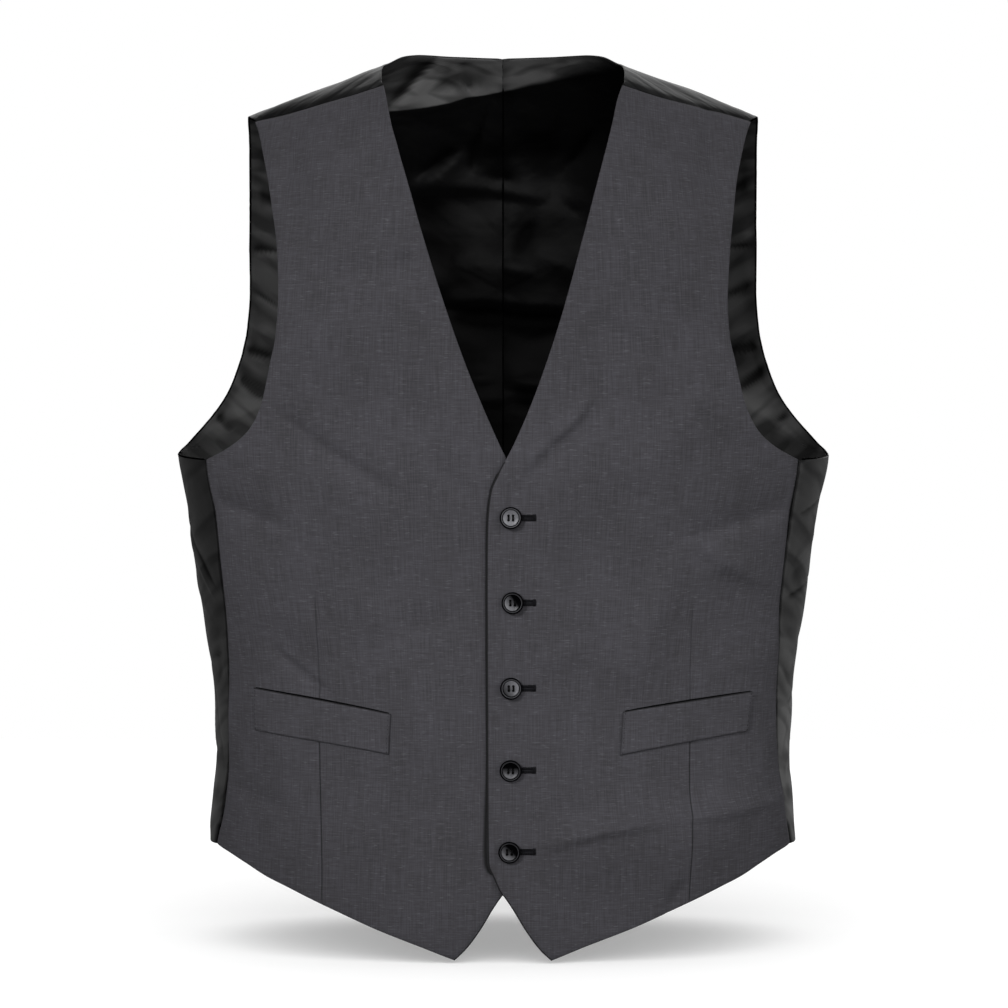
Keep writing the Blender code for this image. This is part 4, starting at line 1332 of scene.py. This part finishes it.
def paintedSatinLight(across, around, level):
    # painted light, how much paler the inside is: the facing in the neck, and the sides seen through the
    # armholes
    (x0, z0), (x1, z1) = bands["fold"]
    fold = x0 + (level - z0) * (x1 - x0) / (z1 - z0)
    facing = sheen["pastFold"] + (1.0 - sheen["pastFold"]) * smoothStep(*sheen["foldEdge"], across - fold)
    facing = facing * (1.0 - sheen["facingLoss"] * smoothStep(*sheen["facingDims"], across))
    facing = facing * (np.abs(around) < bands["reach"])
    more, leftMore = sheen["sidesLow"]
    low = (more + leftMore * (around > 0.0)) * smoothStep(*sheen["sidesHeights"], level)
    sides = (sheen["sidesHigh"] + low) * smoothStep(*sheen["sides"], np.abs(around))
    return np.maximum(facing, sides)


def paintedStripLight(around, level):
    # painted light on the sides that show beside the fronts, more of it towards the hem
    low = sheen["stripsHigh"] + sheen["stripsLow"] * smoothStep(*sheen["stripsHeights"], level)
    away = 1.0 - sheen["stripsLoss"] * smoothStep(*sheen["stripsTurn"], around)
    return low * (smoothStep(*sheen["strips"], around) * away)


def paintedTroughShadeOf(relief, around, level):
    # painted shade, how dark the satin is in the troughs between its folds, outside and in, and deep inside
    wide = relief
    for _ in range(panel["hollowRounds"]):
        padded = np.pad(wide, 1, mode="edge")
        wide = (padded[:-2, 1:-1] + padded[2:, 1:-1] + padded[1:-1, :-2] + padded[1:-1, 2:]) / 4.0
    trough = panel["hollow"] * np.clip((relief - wide) / panel["hollowRise"], -1.0, 1.0)
    inside = panel["deepInside"] * smoothStep(*panel["deepHeights"], level)
    inside = inside * (np.abs(around) < bands["reach"])
    beside = smoothStep(*panel["besideFronts"], np.abs(around))
    return beside * np.maximum(-trough, 0.0), 1.0 - (1.0 - np.maximum(trough, 0.0)) * (1.0 - inside)


def makeBack(name, side):
    skin, _ = skinOf(name)
    angles, heights = backGrid(name)
    points = skin(angles, heights)
    far = toEdges(points)
    rowsUpper = points.shape[0] - 1 - grid["rowsLower"]
    rowIndex = np.arange(points.shape[0])[:, None]
    lower = rowIndex >= rowsUpper
    belowNeck = rowIndex >= grid["rowsNeck"]
    # the creases die away towards the edges, which are sewn and stay straight
    edge = np.minimum(far["outer"], np.where(belowNeck, farOff, far["inner"]))
    edge = np.minimum(np.minimum(edge, far["top"]), far["bottom"])
    calm = panel["calmEdge"] + (1.0 - panel["calmEdge"]) * smoothStep(0.0, panel["calmReach"], edge)
    beside = (aroundOf(angles, True) - aroundOf(math.pi / 2, True)) / panel["sideReach"]
    calm = calm * (1.0 - panel["sideCalm"] * np.exp(-beside ** 2))
    relief = calm * reliefOf(name, points, angles, heights)
    # gathers stand across each seam and die away from it
    beat = (heights + panel["puckerLean"] * far["outer"]) / panel["puckerLength"] * 2.0 * math.pi
    drift, driftBeat = panel["puckerDrift"]
    uneven = np.sin(beat + drift * np.sin(beat * driftBeat))
    uneven = uneven * (0.5 + 0.5 * np.sin(beat * panel["puckerFade"] + side))
    gather = uneven * np.exp(-far["inner"] / panel["puckerReach"]) * belowNeck
    share = np.where(lower, 1.0, panel["puckerArmhole"])
    gather += uneven * np.exp(-far["outer"] / panel["puckerReach"]) * share
    points = points + gridNormals(points, -1.0) * (relief + panel["puckerDepth"] * gather)[..., None]
    normals = gridNormals(points, -1.0)
    places = np.stack([aroundOf(angles, True), heights], axis=-1)
    across, around, level = side * points[..., 0], side * places[..., 0], points[..., 2]
    dip = nearSeam(far["top"]) + lower * nearSeam(far["outer"]) + belowNeck * nearSeam(far["inner"])
    dip = panel["seamDip"] * dip
    # painted shade along the back's edges, wider in the open vents
    vent = smoothStep(panel["ventTop"], panel["ventTop"] - panel["ventFade"], level)
    both, leftMore = panel["ventSides"]
    edge = far["outer"] / (panel["shadeWidth"] + panel["ventShade"] * vent * (both + leftMore * side))
    centre = np.where(belowNeck, far["inner"], farOff) / panel["satinShadeWidth"]
    onFacing = facingSide(across, around, level)
    sideDepth = panel["sideSeamDepth"] + (1.0 - panel["sideSeamDepth"]) * np.where(lower, vent, 1.0)
    hidden = 1.0 - panel["facingCover"] * np.clip(onFacing, 0.0, 1.0)
    # painted shade along seams and in troughs, and painted light on the facing and the sides
    # a pair is the outside's values and the inside's
    fields = {
        "seam distance": np.minimum(np.minimum(edge, centre), faded),
        "seam shade strength": (sideDepth, np.where(centre < edge, hidden, 1.0)),
        "satin painted light": (paintedStripLight(places[..., 0], level), paintedSatinLight(across, around, level)),
        "facing side": (np.full_like(onFacing, faded), onFacing),
        "hollow": paintedTroughShadeOf(relief, around, level),
    }
    dip = dip + panel["ventDip"] * lower * vent * np.exp(-(far["outer"] / panel["ventDipWidth"]) ** 2)
    points = points - normals * dip[..., None]
    wall = cloth["backWall"] - panel["seamThins"] * np.minimum(dip, panel["seamDip"])
    lining = points - normals * wall[..., None]
    facing = np.zeros((points.shape[0] - 1, points.shape[1] - 1), dtype=bool)
    mirror = np.array([side, 1.0, 1.0])
    bulge = panel["satinBulge"]
    mesh = shellMesh(name + "_cloth", points * mirror, lining * mirror, places, bulge, facing, fields)
    back = addPiece(name + "_satin", mesh, [materials["satin"], materials["lining"]], "black_satin", (name,))
    return back


for name, side in (("left", 1.0), ("right", -1.0)):
    makeFront("front_" + name, side)
    makeBack("back_" + name, side)
print("fronts and back made")


# the welt pockets

welt = {
    "corners": {                # top inner, top outer, bottom outer, bottom inner
        "left": table("across height", (81.6, -441.2), (170.8, -430.4), (167.4, -457.9), (79.3, -470.9)),
        "right": table("across height", (75.7, -442.3), (170.6, -427.9), (169.6, -457.2), (77.2, -470.2)),
    },
    "length": 92.0,
    "bow": 0.9,                 # its edges arch up by this much at the middle
    "seat": 0.25,               # its underside lies this far off the front
    "edge": 0.12,               # it is this thick at its edges
    "rise": 1.5,                # and its face rises this much further
    "bulge": 0.05,
    "roundTop": 0.8,            # radius of the folded top edge
    "roundSewn": 1.5,           # and of the sewn edges
    "columns": 70,
    "rows": 26,
    "lines": {"top": 1.0, "bottom": 0.3, "inner": 0.5, "outer": 0.4},   # darkness of the painted shade along its edges
    "lineWidth": 0.55,
    "weaveShift": (61.0, 7.0),  # so that its yarns don't run on from the front's
}


def weltPlace(name, u, v):
    # across and height of a point of the welt, u along it and v down it
    corners = np.stack([welt["corners"][name]["across"], welt["corners"][name]["height"]], axis=-1)
    topInner, topOuter, bottomOuter, bottomInner = corners
    u = u[..., None]
    v = v[..., None]
    flat = (1 - v) * ((1 - u) * topInner + u * topOuter) + v * ((1 - u) * bottomInner + u * bottomOuter)
    return flat[..., 0], flat[..., 1] + welt["bow"] * 4.0 * (u * (1.0 - u))[..., 0]


def onFront(name, across, height):
    # the front's face and its normal under a place on it
    name = "front_" + name
    skin, outward = skinOf(name)

    def face(angle, height):
        points = skin(angle, height)
        normal = normalsOf(skin, angle, height, outward)
        return points + normal * reliefOf(name, points, angle, height)[..., None]

    angle = angleOf(across, height, np.zeros_like(across))
    return face(angle, height), normalsOf(face, angle, height, outward), angle


def eased(count):
    # steps from 0 to 1, closer together at both ends
    t = np.linspace(0.0, 1.0, count + 1)
    return 0.5 * t + 0.5 * (0.5 - 0.5 * np.cos(math.pi * t))


def roundedOff(distance, radius):
    return np.sqrt(np.clip(1.0 - (1.0 - np.clip(distance / radius, 0.0, 1.0)) ** 2, 0.0, 1.0))


def makeWelt(name, side):
    u, v = np.meshgrid(eased(welt["columns"]), eased(welt["rows"]))
    across, height = weltPlace(name, u, v)
    points, normals, angle = onFront(name, across, height)
    far = toEdges(points)
    ends = np.minimum(far["inner"], far["outer"])
    shape = roundedOff(far["top"], welt["roundTop"])
    shape = shape * roundedOff(far["bottom"], welt["roundSewn"]) * roundedOff(ends, welt["roundSewn"])
    face = points + normals * (welt["seat"] + welt["edge"] + welt["rise"] * shape)[..., None]
    under = points + normals * welt["seat"]
    places = np.stack([aroundOf(angle, False), height], axis=-1) + welt["weaveShift"]
    mirror = np.array([side, 1.0, 1.0])
    facing = np.ones((u.shape[0] - 1, u.shape[1] - 1), dtype=bool)
    fields = {
        "seam distance": np.full_like(u, faded),
        "seam shade strength": np.ones_like(u),
        "lap distance": np.full_like(u, faded),
    }
    # painted shade along the welt's edges
    for line, darkness in welt["lines"].items():
        near = far[line] / welt["lineWidth"]
        fields["seam shade strength"] = np.where(near < fields["seam distance"], darkness, fields["seam shade strength"])
        fields["seam distance"] = np.minimum(near, fields["seam distance"])
    bulge = welt["bulge"]
    mesh = shellMesh("welt_" + name, face * mirror, under * mirror, places, bulge, facing, fields, arcs=2)
    band = addPiece("welt_%s_wool" % name, mesh, [materials["wool"]], "charcoal_wool", ("welt_" + name,))
    return band


def darkStrip(name, rows, side, lift, depth):
    # a thin dark strip over rows of places on the front, for the dark inside of an opening; over a pocket it
    # is also painted shade
    points = np.stack([row[0] for row in rows])
    normals = np.stack([row[1] for row in rows])
    mirror = np.array([side, 1.0, 1.0])
    face = (points + normals * lift) * mirror
    under = (points - normals * depth) * mirror
    places = np.zeros(points.shape[:2] + (2,))
    facing = np.ones((points.shape[0] - 1, points.shape[1] - 1), dtype=bool)
    return shellMesh(name, face, under, places, 0.02, facing, arcs=2)


mouth = {
    "width": 1.1,               # of the dark strip above a welt: the pocket's black lining, and painted shade in its opening
    "rows": (-0.6, 0.35, 1.0),  # in widths above the welt's top edge
    "lift": (0.3, 0.22, 0.05),  # of each row, off the front
    "depth": 0.3,
    "columns": 60,
    "inset": 0.015,             # from the welt's ends, as a share of its length
    "blunt": 0.12,              # how blunt its ends are
    "fullness": 0.35,           # below 1, it keeps its width nearly to its ends
}


def makeMouth(name, side):
    # a dark strip just above the welt's top edge: the pocket's black lining, and painted shade in its opening
    steps = mouth["columns"] + 1
    u = np.linspace(mouth["inset"], 1.0 - mouth["inset"], steps)
    swell = np.sin(np.linspace(mouth["blunt"], math.pi - mouth["blunt"], steps))
    width = mouth["width"] * swell ** mouth["fullness"]
    across, height = weltPlace(name, u, np.zeros_like(u))
    rows = [onFront(name, across, height + row * width) for row in mouth["rows"]]
    lift = np.array(mouth["lift"])[:, None, None]
    mesh = darkStrip("mouth_" + name, rows, side, lift, mouth["depth"])
    return addPiece("pocket_mouth_shade_" + name, mesh, [materials["cord"]], "black_satin")


def tube(path, radius, sides, verts, faces, ends=0.45):
    # a round thread along a path, drawn in at both ends
    path = np.asarray(path, dtype=float)
    start = len(verts)
    steps = len(path)
    along = np.gradient(path, axis=0)
    along /= np.linalg.norm(along, axis=1)[:, None]
    helper = np.array([0.0, -1.0, 0.0])
    for i in range(steps):
        sideways = np.cross(along[i], helper)
        length = np.linalg.norm(sideways)
        sideways = sideways / length if length > 1e-6 else np.array([1.0, 0.0, 0.0])
        upward = np.cross(sideways, along[i])
        r = radius * (ends if i in (0, steps - 1) else 1.0)
        for k in range(sides):
            turn = 2.0 * math.pi * k / sides
            verts.append(path[i] + r * (math.cos(turn) * sideways + math.sin(turn) * upward))
    for i in range(steps - 1):
        for k in range(sides):
            n = (k + 1) % sides
            a = start + i * sides
            faces.append((a + k, a + n, a + sides + n, a + sides + k))
    faces.append(tuple(start + k for k in reversed(range(sides))))
    faces.append(tuple(start + (steps - 1) * sides + k for k in range(sides)))


weltStitch = {                  # the hand stitches down each end of a welt
    "count": 9,
    "inset": 1.6,
    "half": 0.022,              # half a stitch's length, as a share of the welt's height
    "uneven": 0.08,             # in stitches
    "lift": (-0.12, 0.1, -0.12),        # from the welt's face at its ends and middle
    "thread": 0.16,
    "sides": 5,
}


def makeWeltStitches(name, side):
    verts = []
    faces = []
    inset = weltStitch["inset"] / welt["length"]
    half, uneven = weltStitch["half"], weltStitch["uneven"]
    places = []
    for u in (inset, 1.0 - inset):
        for k in range(weltStitch["count"]):
            v = (k + 0.5 + chance.uniform(-uneven, uneven)) / weltStitch["count"]
            places.append([(u, v + step) for step in (-half, 0.0, half)])
    places = np.array(places)
    across, height = weltPlace(name, places[..., 0], places[..., 1])
    points, normals, _ = onFront(name, across, height)
    lift = welt["seat"] + welt["edge"] + welt["rise"] + np.array(weltStitch["lift"])
    for path in (points + normals * lift[:, None]) * np.array([side, 1.0, 1.0]):
        tube(path, weltStitch["thread"], weltStitch["sides"], verts, faces)
    mesh = meshOf("welt_stitches_" + name, np.array(verts) * mm, faces)
    return addPiece("welt_stitches_" + name, mesh, [materials["cord"]], "charcoal_wool")


for name, side in (("left", 1.0), ("right", -1.0)):
    makeWelt(name, side)
    makeMouth(name, side)
    makeWeltStitches(name, side)
print("pockets made")


# the buttons, their thread and their buttonholes

button = {
    "places": table(
        "across height",
        (5.2, -308.4),
        (6.6, -365.9),
        (5.3, -424.0),
        (5.2, -479.9),
        (4.4, -535.3),
    ),
    "profile": table(           # underside, rim, turned groove and dished face
        "radius height",
        (0.0, 0.0), (5.2, 0.0), (6.3, 0.25), (7.05, 0.75), (7.42, 1.3), (7.5, 1.75),
        (7.42, 2.15), (7.15, 2.5), (6.8, 2.74), (6.5, 2.88), (6.2, 2.93), (5.96, 2.84),
        (5.8, 2.5), (5.66, 2.05), (5.5, 1.92), (5.34, 2.08), (5.15, 2.3), (4.95, 2.28),
        (4.5, 2.1), (3.8, 1.85), (3.0, 1.68), (2.0, 1.56), (1.0, 1.5), (0.0, 1.49),
    ),
    "tilts": ((4.0, 1.0), (1.0, -4.0), (2.0, 4.0), (-2.5, -1.0), (-3.5, -2.0)),     # degrees up and sideways
    "sides": 72,
    "hole": 0.92,               # radius of each hole
    "pitch": 1.52,              # half the distance between two holes
    "drill": (-1.0, 1.5, 4.0),  # heights along it
    "drillSides": 18,
    "sharp": 48.0,              # degrees, an edge that turns by more stays crisp
    # painted reflection in each dish: how pale it is, and which way and how much it pales further
    "smokeAndReflection": table(
        "pale turn slope",
        (0.8, 240.0, 0.15),
        (0.26, 215.0, 0.6),
        (0.5, 35.0, 0.42),
        (0.18, 270.0, 0.42),
        (0.16, 225.0, 0.45),
    ),
    "smokeReach": 5.0,          # the slope is over this distance from the middle
    "dishEdge": (5.2, 5.45),    # radii between which the dish's smoke ends
    "ring": ((5.8, 6.0), (6.3, 6.6)),   # and those where the ring's painted highlight begins and ends
    "ringPale": (0.12, 0.35),   # how pale it is, and how much more for a pale dish
    "topFrom": (0.9, 1.3),      # heights between which the black underside ends
    "shank": 0.7,               # how far its thread holds it off the cloth
}


def buttonFrame(number, across, height):
    # where a button sits, with its sideways, upright and outward directions
    points, normals, _ = onFront("left", np.array([across]), np.array([height]))
    up, sideways = np.radians(button["tilts"][number - 1])
    axis = normals[0] + np.array([math.tan(sideways), 0.0, math.tan(up)])
    axis /= np.linalg.norm(axis)
    upright = np.array([0.0, 0.0, 1.0])
    upright -= axis * float(upright @ axis)
    upright /= np.linalg.norm(upright)
    return points[0], np.stack([np.cross(upright, axis), upright, axis])


def lathe(profile, sides):
    verts = []
    rings = []
    for radius, height in zip(profile["radius"], profile["height"]):
        if radius < 1e-6:
            rings.append([len(verts)])
            verts.append((0.0, 0.0, height))
            continue
        turns = 2.0 * math.pi * np.arange(sides) / sides
        rings.append(list(range(len(verts), len(verts) + sides)))
        verts += [(radius * math.cos(t), radius * math.sin(t), height) for t in turns]
    faces = []
    for low, high in zip(rings, rings[1:]):
        for k in range(sides):
            n = (k + 1) % sides
            if len(low) == 1:
                faces.append((low[0], high[n], high[k]))
            elif len(high) == 1:
                faces.append((low[k], low[n], high[0]))
            else:
                faces.append((low[k], low[n], high[n], high[k]))
    return verts, faces


def smokeOf(number, spots):
    # how pale the resin is: black at the rim and in the groove, with painted reflection in the dish
    # and a thin painted highlight ring between the rim and the groove
    pale, turn, slope = (button["smokeAndReflection"][key][number - 1] for key in ("pale", "turn", "slope"))
    across, up, out = spots.T
    radius = np.hypot(across, up)
    along = across * math.cos(math.radians(turn)) + up * math.sin(math.radians(turn))
    dish = np.clip(pale + slope * (along / button["smokeReach"]), 0.0, 1.0)
    dish = dish * (1.0 - smoothStep(*button["dishEdge"], radius))
    begins, ends = button["ring"]
    least, more = button["ringPale"]
    ring = (least + more * pale) * smoothStep(*begins, radius) * (1.0 - smoothStep(*ends, radius))
    return ((dish + ring) * smoothStep(*button["topFrom"], out)).astype(np.float32)


def makeButton(number, across, height):
    seat, axes = buttonFrame(number, across, height)
    origin = seat + axes[2] * button["shank"]
    name = "button_%d" % number
    verts, faces = lathe(button["profile"], button["sides"])
    mesh = meshOf(name + "_resin", (np.array(verts) @ axes + origin) * mm, faces)
    drillVerts = []
    drillFaces = []
    for dx in (-1, 1):
        for dy in (-1, 1):
            spot = np.array([dx, dy, 0.0]) * button["pitch"]
            path = [(spot + np.array([0.0, 0.0, z])) @ axes + origin for z in button["drill"]]
            tube(path, button["hole"], button["drillSides"], drillVerts, drillFaces, ends=1.0)
    drillMesh = meshOf("drills", np.array(drillVerts) * mm, drillFaces)
    flipIfInsideOut(mesh)
    flipIfInsideOut(drillMesh)
    part = bpy.data.objects.new("blank", mesh)
    drill = bpy.data.objects.new("drills", drillMesh)
    for item in (part, drill):
        bpy.context.scene.collection.objects.link(item)
    cut = part.modifiers.new("holes", "BOOLEAN")
    cut.operation = "DIFFERENCE"
    cut.solver = "EXACT"
    cut.object = drill
    bpy.context.view_layer.update()
    drilled = bpy.data.meshes.new_from_object(part.evaluated_get(bpy.context.evaluated_depsgraph_get()))
    drilled.name = name + "_resin"
    drilled.polygons.foreach_set("use_smooth", np.ones(len(drilled.polygons), dtype=bool))
    drilled.set_sharp_from_angle(angle=math.radians(button["sharp"]))
    spots = np.zeros(len(drilled.vertices) * 3)
    drilled.vertices.foreach_get("co", spots)
    # painted reflection and highlight of the dish, kept in the mesh
    smokeAndReflection = drilled.attributes.new("smokeAndReflection", "FLOAT", "POINT")
    smokeAndReflection.data.foreach_set("value", smokeOf(number, (spots.reshape(-1, 3) / mm - origin) @ axes.T))
    bpy.data.objects.remove(drill)
    bpy.data.objects.remove(part)
    return addPiece(name + "_resin", drilled, [materials["resin"]], "button_resin", (name,))


buttonThread = {
    "radius": 0.3,
    "sides": 8,
    "ends": 0.8,                # share of its radius at its ends
    "apart": 0.27,              # half the distance between its two strands
    "spread": 0.15,             # share by which they are further apart at the middle
    "into": 0.12,               # how far past the holes' middles it goes
    "heights": (1.1, 2.0, 2.35, 2.45, 2.35, 2.0, 1.1),
}


def makeButtonThread(number, across, height):
    # two upright bars of doubled thread, from hole to hole
    thread = buttonThread
    seat, axes = buttonFrame(number, across, height)
    origin = seat + axes[2] * button["shank"]
    verts = []
    faces = []
    run = np.linspace(-1.0, 1.0, len(thread["heights"])) * (button["pitch"] + thread["into"])
    for dx in (-1, 1):
        for strand in (-thread["apart"], thread["apart"]):
            spine = []
            for y, z in zip(run, thread["heights"]):
                x = dx * button["pitch"] + strand * (1.0 + thread["spread"] * math.cos(y))
                spine.append(np.array([x, y, z]) @ axes + origin)
            tube(spine, thread["radius"], thread["sides"], verts, faces, ends=thread["ends"])
    mesh = meshOf("button_thread_%d" % number, np.array(verts) * mm, faces)
    return addPiece("button_thread_%d" % number, mesh, [materials["cord"]], "button_resin")


buttonhole = {
    "start": 0.0,               # across, under the button
    "end": 20.3,                # where the bar tack starts
    "slit": 0.4,                # half the width of the cut
    "stitch": 1.75,             # length of the cord's stitches
    "stitchUneven": (0.9, 1.08),
    "sway": 0.07,
    "pitch": 0.5,
    "thread": 0.31,
    "sides": 6,
    "steps": (-0.1, 0.25, 0.6, 0.85, 1.0),
    "lift": (0.05, 0.42, 0.48, 0.38, -0.05),
    "tack": (20.4, 20.9, 21.4, 21.9),       # the threads of the tack, across
    "tackHalf": 2.5,
    "tackUneven": (0.92, 1.05),
    "tackSteps": (-1.0, -0.5, 0.0, 0.5, 1.0),
    "tackLift": (-0.1, 0.5, 0.62, 0.5, -0.1),
    "cutRows": (-0.6, 0.0, 0.6),            # the dark strip under the stitches
    "cutColumns": 24,
    "cutLift": 0.06,
    "cutDepth": 0.2,
}


def stitchPlaces():
    # both sides of the cut, and the bar tack over its outer end
    hole = buttonhole
    places = []
    for side in (1.0, -1.0):
        for x in np.arange(hole["start"], hole["end"], hole["pitch"]):
            reach = hole["stitch"] * chance.uniform(*hole["stitchUneven"])
            sway = chance.uniform(-hole["sway"], hole["sway"])
            places.append([(x + sway, side * (hole["slit"] + reach * step)) for step in hole["steps"]])
    for x in hole["tack"]:
        half = hole["tackHalf"] * chance.uniform(*hole["tackUneven"])
        places.append([(x, half * step) for step in hole["tackSteps"]])
    return np.array(places)


def makeButtonhole(number, height):
    hole = buttonhole
    verts = []
    faces = []
    stitches = stitchPlaces()
    points, normals, _ = onFront("left", stitches[..., 0], height + stitches[..., 1])
    lift = np.tile(hole["lift"], (len(stitches), 1))
    lift[-len(hole["tack"]):] = hole["tackLift"]
    for path in points + normals * lift[..., None]:
        tube(path, hole["thread"], hole["sides"], verts, faces)
    mesh = meshOf("buttonhole_%d" % number, np.array(verts) * mm, faces)
    cord = addPiece("buttonhole_%d" % number, mesh, [materials["hole"]], "charcoal_wool")
    # the cut itself, a dark strip under the stitches
    u = np.linspace(hole["start"], hole["end"], hole["cutColumns"] + 1)
    rows = [onFront("left", u, np.full_like(u, height + row)) for row in hole["cutRows"]]
    strip = darkStrip("slit", rows, 1.0, hole["cutLift"], hole["cutDepth"])
    addPiece("buttonhole_cut_%d" % number, strip, [materials["cut"]], "charcoal_wool")
    return cord


for number, (across, height) in enumerate(zip(*button["places"].values()), start=1):
    makeButton(number, across, height)
    makeButtonThread(number, across, height)
    makeButtonhole(number, height)
print("buttons made")


# floor, light and camera

stage = {
    "floor": -612.0,            # just under the two points
    "half": 1000.0,             # half the width of the table
    "table": "#e6e6e6",
    "glow": 0.25,               # of the table, as it is looked at
    "bounce": 0.22,             # share of the table's light that reaches the cloth
    "seen": 1.0,                # the studio's white, as it is looked at
    "fill": 0.19,               # and as much of it as reaches the cloth
}

# Lights: turn from straight ahead and height in degrees. A sun is as wide as its angle; the key is
# a spot, which fades from its aim towards its cone's edge.
suns = {
    "right": {"turn": 52.0, "height": 14.0, "angle": 50.0, "strength": 1.4},
    "front": {"turn": 2.0, "height": 14.0, "angle": 50.0, "strength": 0.5},
    "behind": {"turn": 180.0, "height": 40.0, "angle": 60.0, "strength": 0.9},
}
overTable = {"turn": 0.0, "height": 62.0, "angle": 135.0, "strength": 3.6}
key = {
    "turn": -38.0,
    "height": 27.0,
    "distance": 2300.0,
    "aim": (25.0, -90.0, -355.0),
    "power": 318.0,
    "radius": 420.0,
    "cone": 21.6,
}


def makeFloor():
    # a matt white table
    half = stage["half"] * mm
    z = stage["floor"] * mm
    corners = [(-half, -half, z), (half, -half, z), (half, half, z), (-half, half, z)]
    mesh = meshOf("table", corners, [(0, 1, 2, 3)])
    material, tree, shader = startMaterial("white table", {
        "Roughness": 0.9,
        "Specular IOR Level": 0.1,
        "Emission Color": linear("#ffffff"),
    })
    path = addNode(tree, "ShaderNodeLightPath", {}, {})
    looked = {0: (path, "Is Camera Ray")}
    glow = addNode(tree, "ShaderNodeMath", {"operation": "MULTIPLY", 1: stage["glow"]}, looked)
    tree.links.new(glow.outputs[0], shader.inputs["Emission Strength"])
    white = linear(stage["table"])
    dimmed = tuple(stage["bounce"] * c for c in white[:3]) + (1.0,)
    colour = addNode(tree, "ShaderNodeMix", {"data_type": "RGBA", 6: dimmed, 7: white}, looked)
    tree.links.new(colour.outputs[2], shader.inputs["Base Color"])
    mesh.materials.append(material)
    floor = bpy.data.objects.new("table", mesh)
    bpy.context.scene.collection.objects.link(floor)
    return floor


def addLight(name, data, lit):
    # a light that falls only on the pieces in one collection, though everything shades it
    light = bpy.data.objects.new(name, data)
    bpy.context.scene.collection.objects.link(light)
    light.light_linking.receiver_collection = lit
    return light


def makeSun(name, values, lit):
    data = bpy.data.lights.new(name, "SUN")
    data.angle = math.radians(values["angle"])
    data.energy = values["strength"]
    light = addLight(name, data, lit)
    light.rotation_euler = (math.radians(90.0 - values["height"]), 0.0, math.radians(values["turn"]))


def makeKey():
    data = bpy.data.lights.new("key", "SPOT")
    data.energy = key["power"]
    data.shadow_soft_size = key["radius"] * mm
    data.spot_size = math.radians(key["cone"])
    data.spot_blend = 1.0
    light = addLight("key", data, outerCloth)
    turn = math.radians(key["turn"])
    height = math.radians(key["height"])
    away = (math.sin(turn) * math.cos(height), -math.cos(turn) * math.cos(height), math.sin(height))
    light.location = [(aim + key["distance"] * a) * mm for aim, a in zip(key["aim"], away)]
    light.rotation_euler = (math.pi / 2 - height, 0.0, turn)


def makeWorld():
    # white all round to look at, with only part of it lighting the cloth
    world = bpy.data.worlds.new("studio")
    world.use_nodes = True
    tree = world.node_tree
    background = tree.nodes["Background"]
    background.inputs["Color"].default_value = linear("#ffffff")
    path = addNode(tree, "ShaderNodeLightPath", {}, {})
    whites = {"To Min": stage["fill"], "To Max": stage["seen"]}
    strength = addNode(tree, "ShaderNodeMapRange", whites, {"Value": (path, "Is Camera Ray")})
    tree.links.new(strength.outputs[0], background.inputs["Strength"])
    bpy.context.scene.world = world


camera = {
    "distance": 2400.0,
    "elevation": 4.0,
    "aim": -306.0,              # height that the view is centred on
    "sideways": 0.7,
    "scale": 0.70,              # millimetres to a pixel at the middle of the body
    "pixels": 1008,
    "sensor": 36.0,
}


def makeCamera():
    data = bpy.data.cameras.new("camera")
    data.sensor_width = camera["sensor"]
    data.lens = camera["sensor"] * camera["distance"] / camera["scale"] / camera["pixels"]
    data.clip_end = 60.0
    eye = bpy.data.objects.new("camera", data)
    bpy.context.scene.collection.objects.link(eye)
    tilt = math.radians(camera["elevation"])
    back = camera["distance"] * math.cos(tilt)
    up = camera["aim"] + camera["distance"] * math.sin(tilt)
    eye.location = (camera["sideways"] * mm, -back * mm, up * mm)
    eye.rotation_euler = (math.pi / 2 - tilt, 0.0, 0.0)
    bpy.context.scene.camera = eye


floorLit = bpy.data.collections.new("table")
floorLit.objects.link(makeFloor())
makeSun("over table", overTable, floorLit)
for name, values in suns.items():
    makeSun(name, values, waistcoat)
makeKey()
makeWorld()
makeCamera()
bpy.context.scene.view_settings.view_transform = "Standard"
print("stage set")
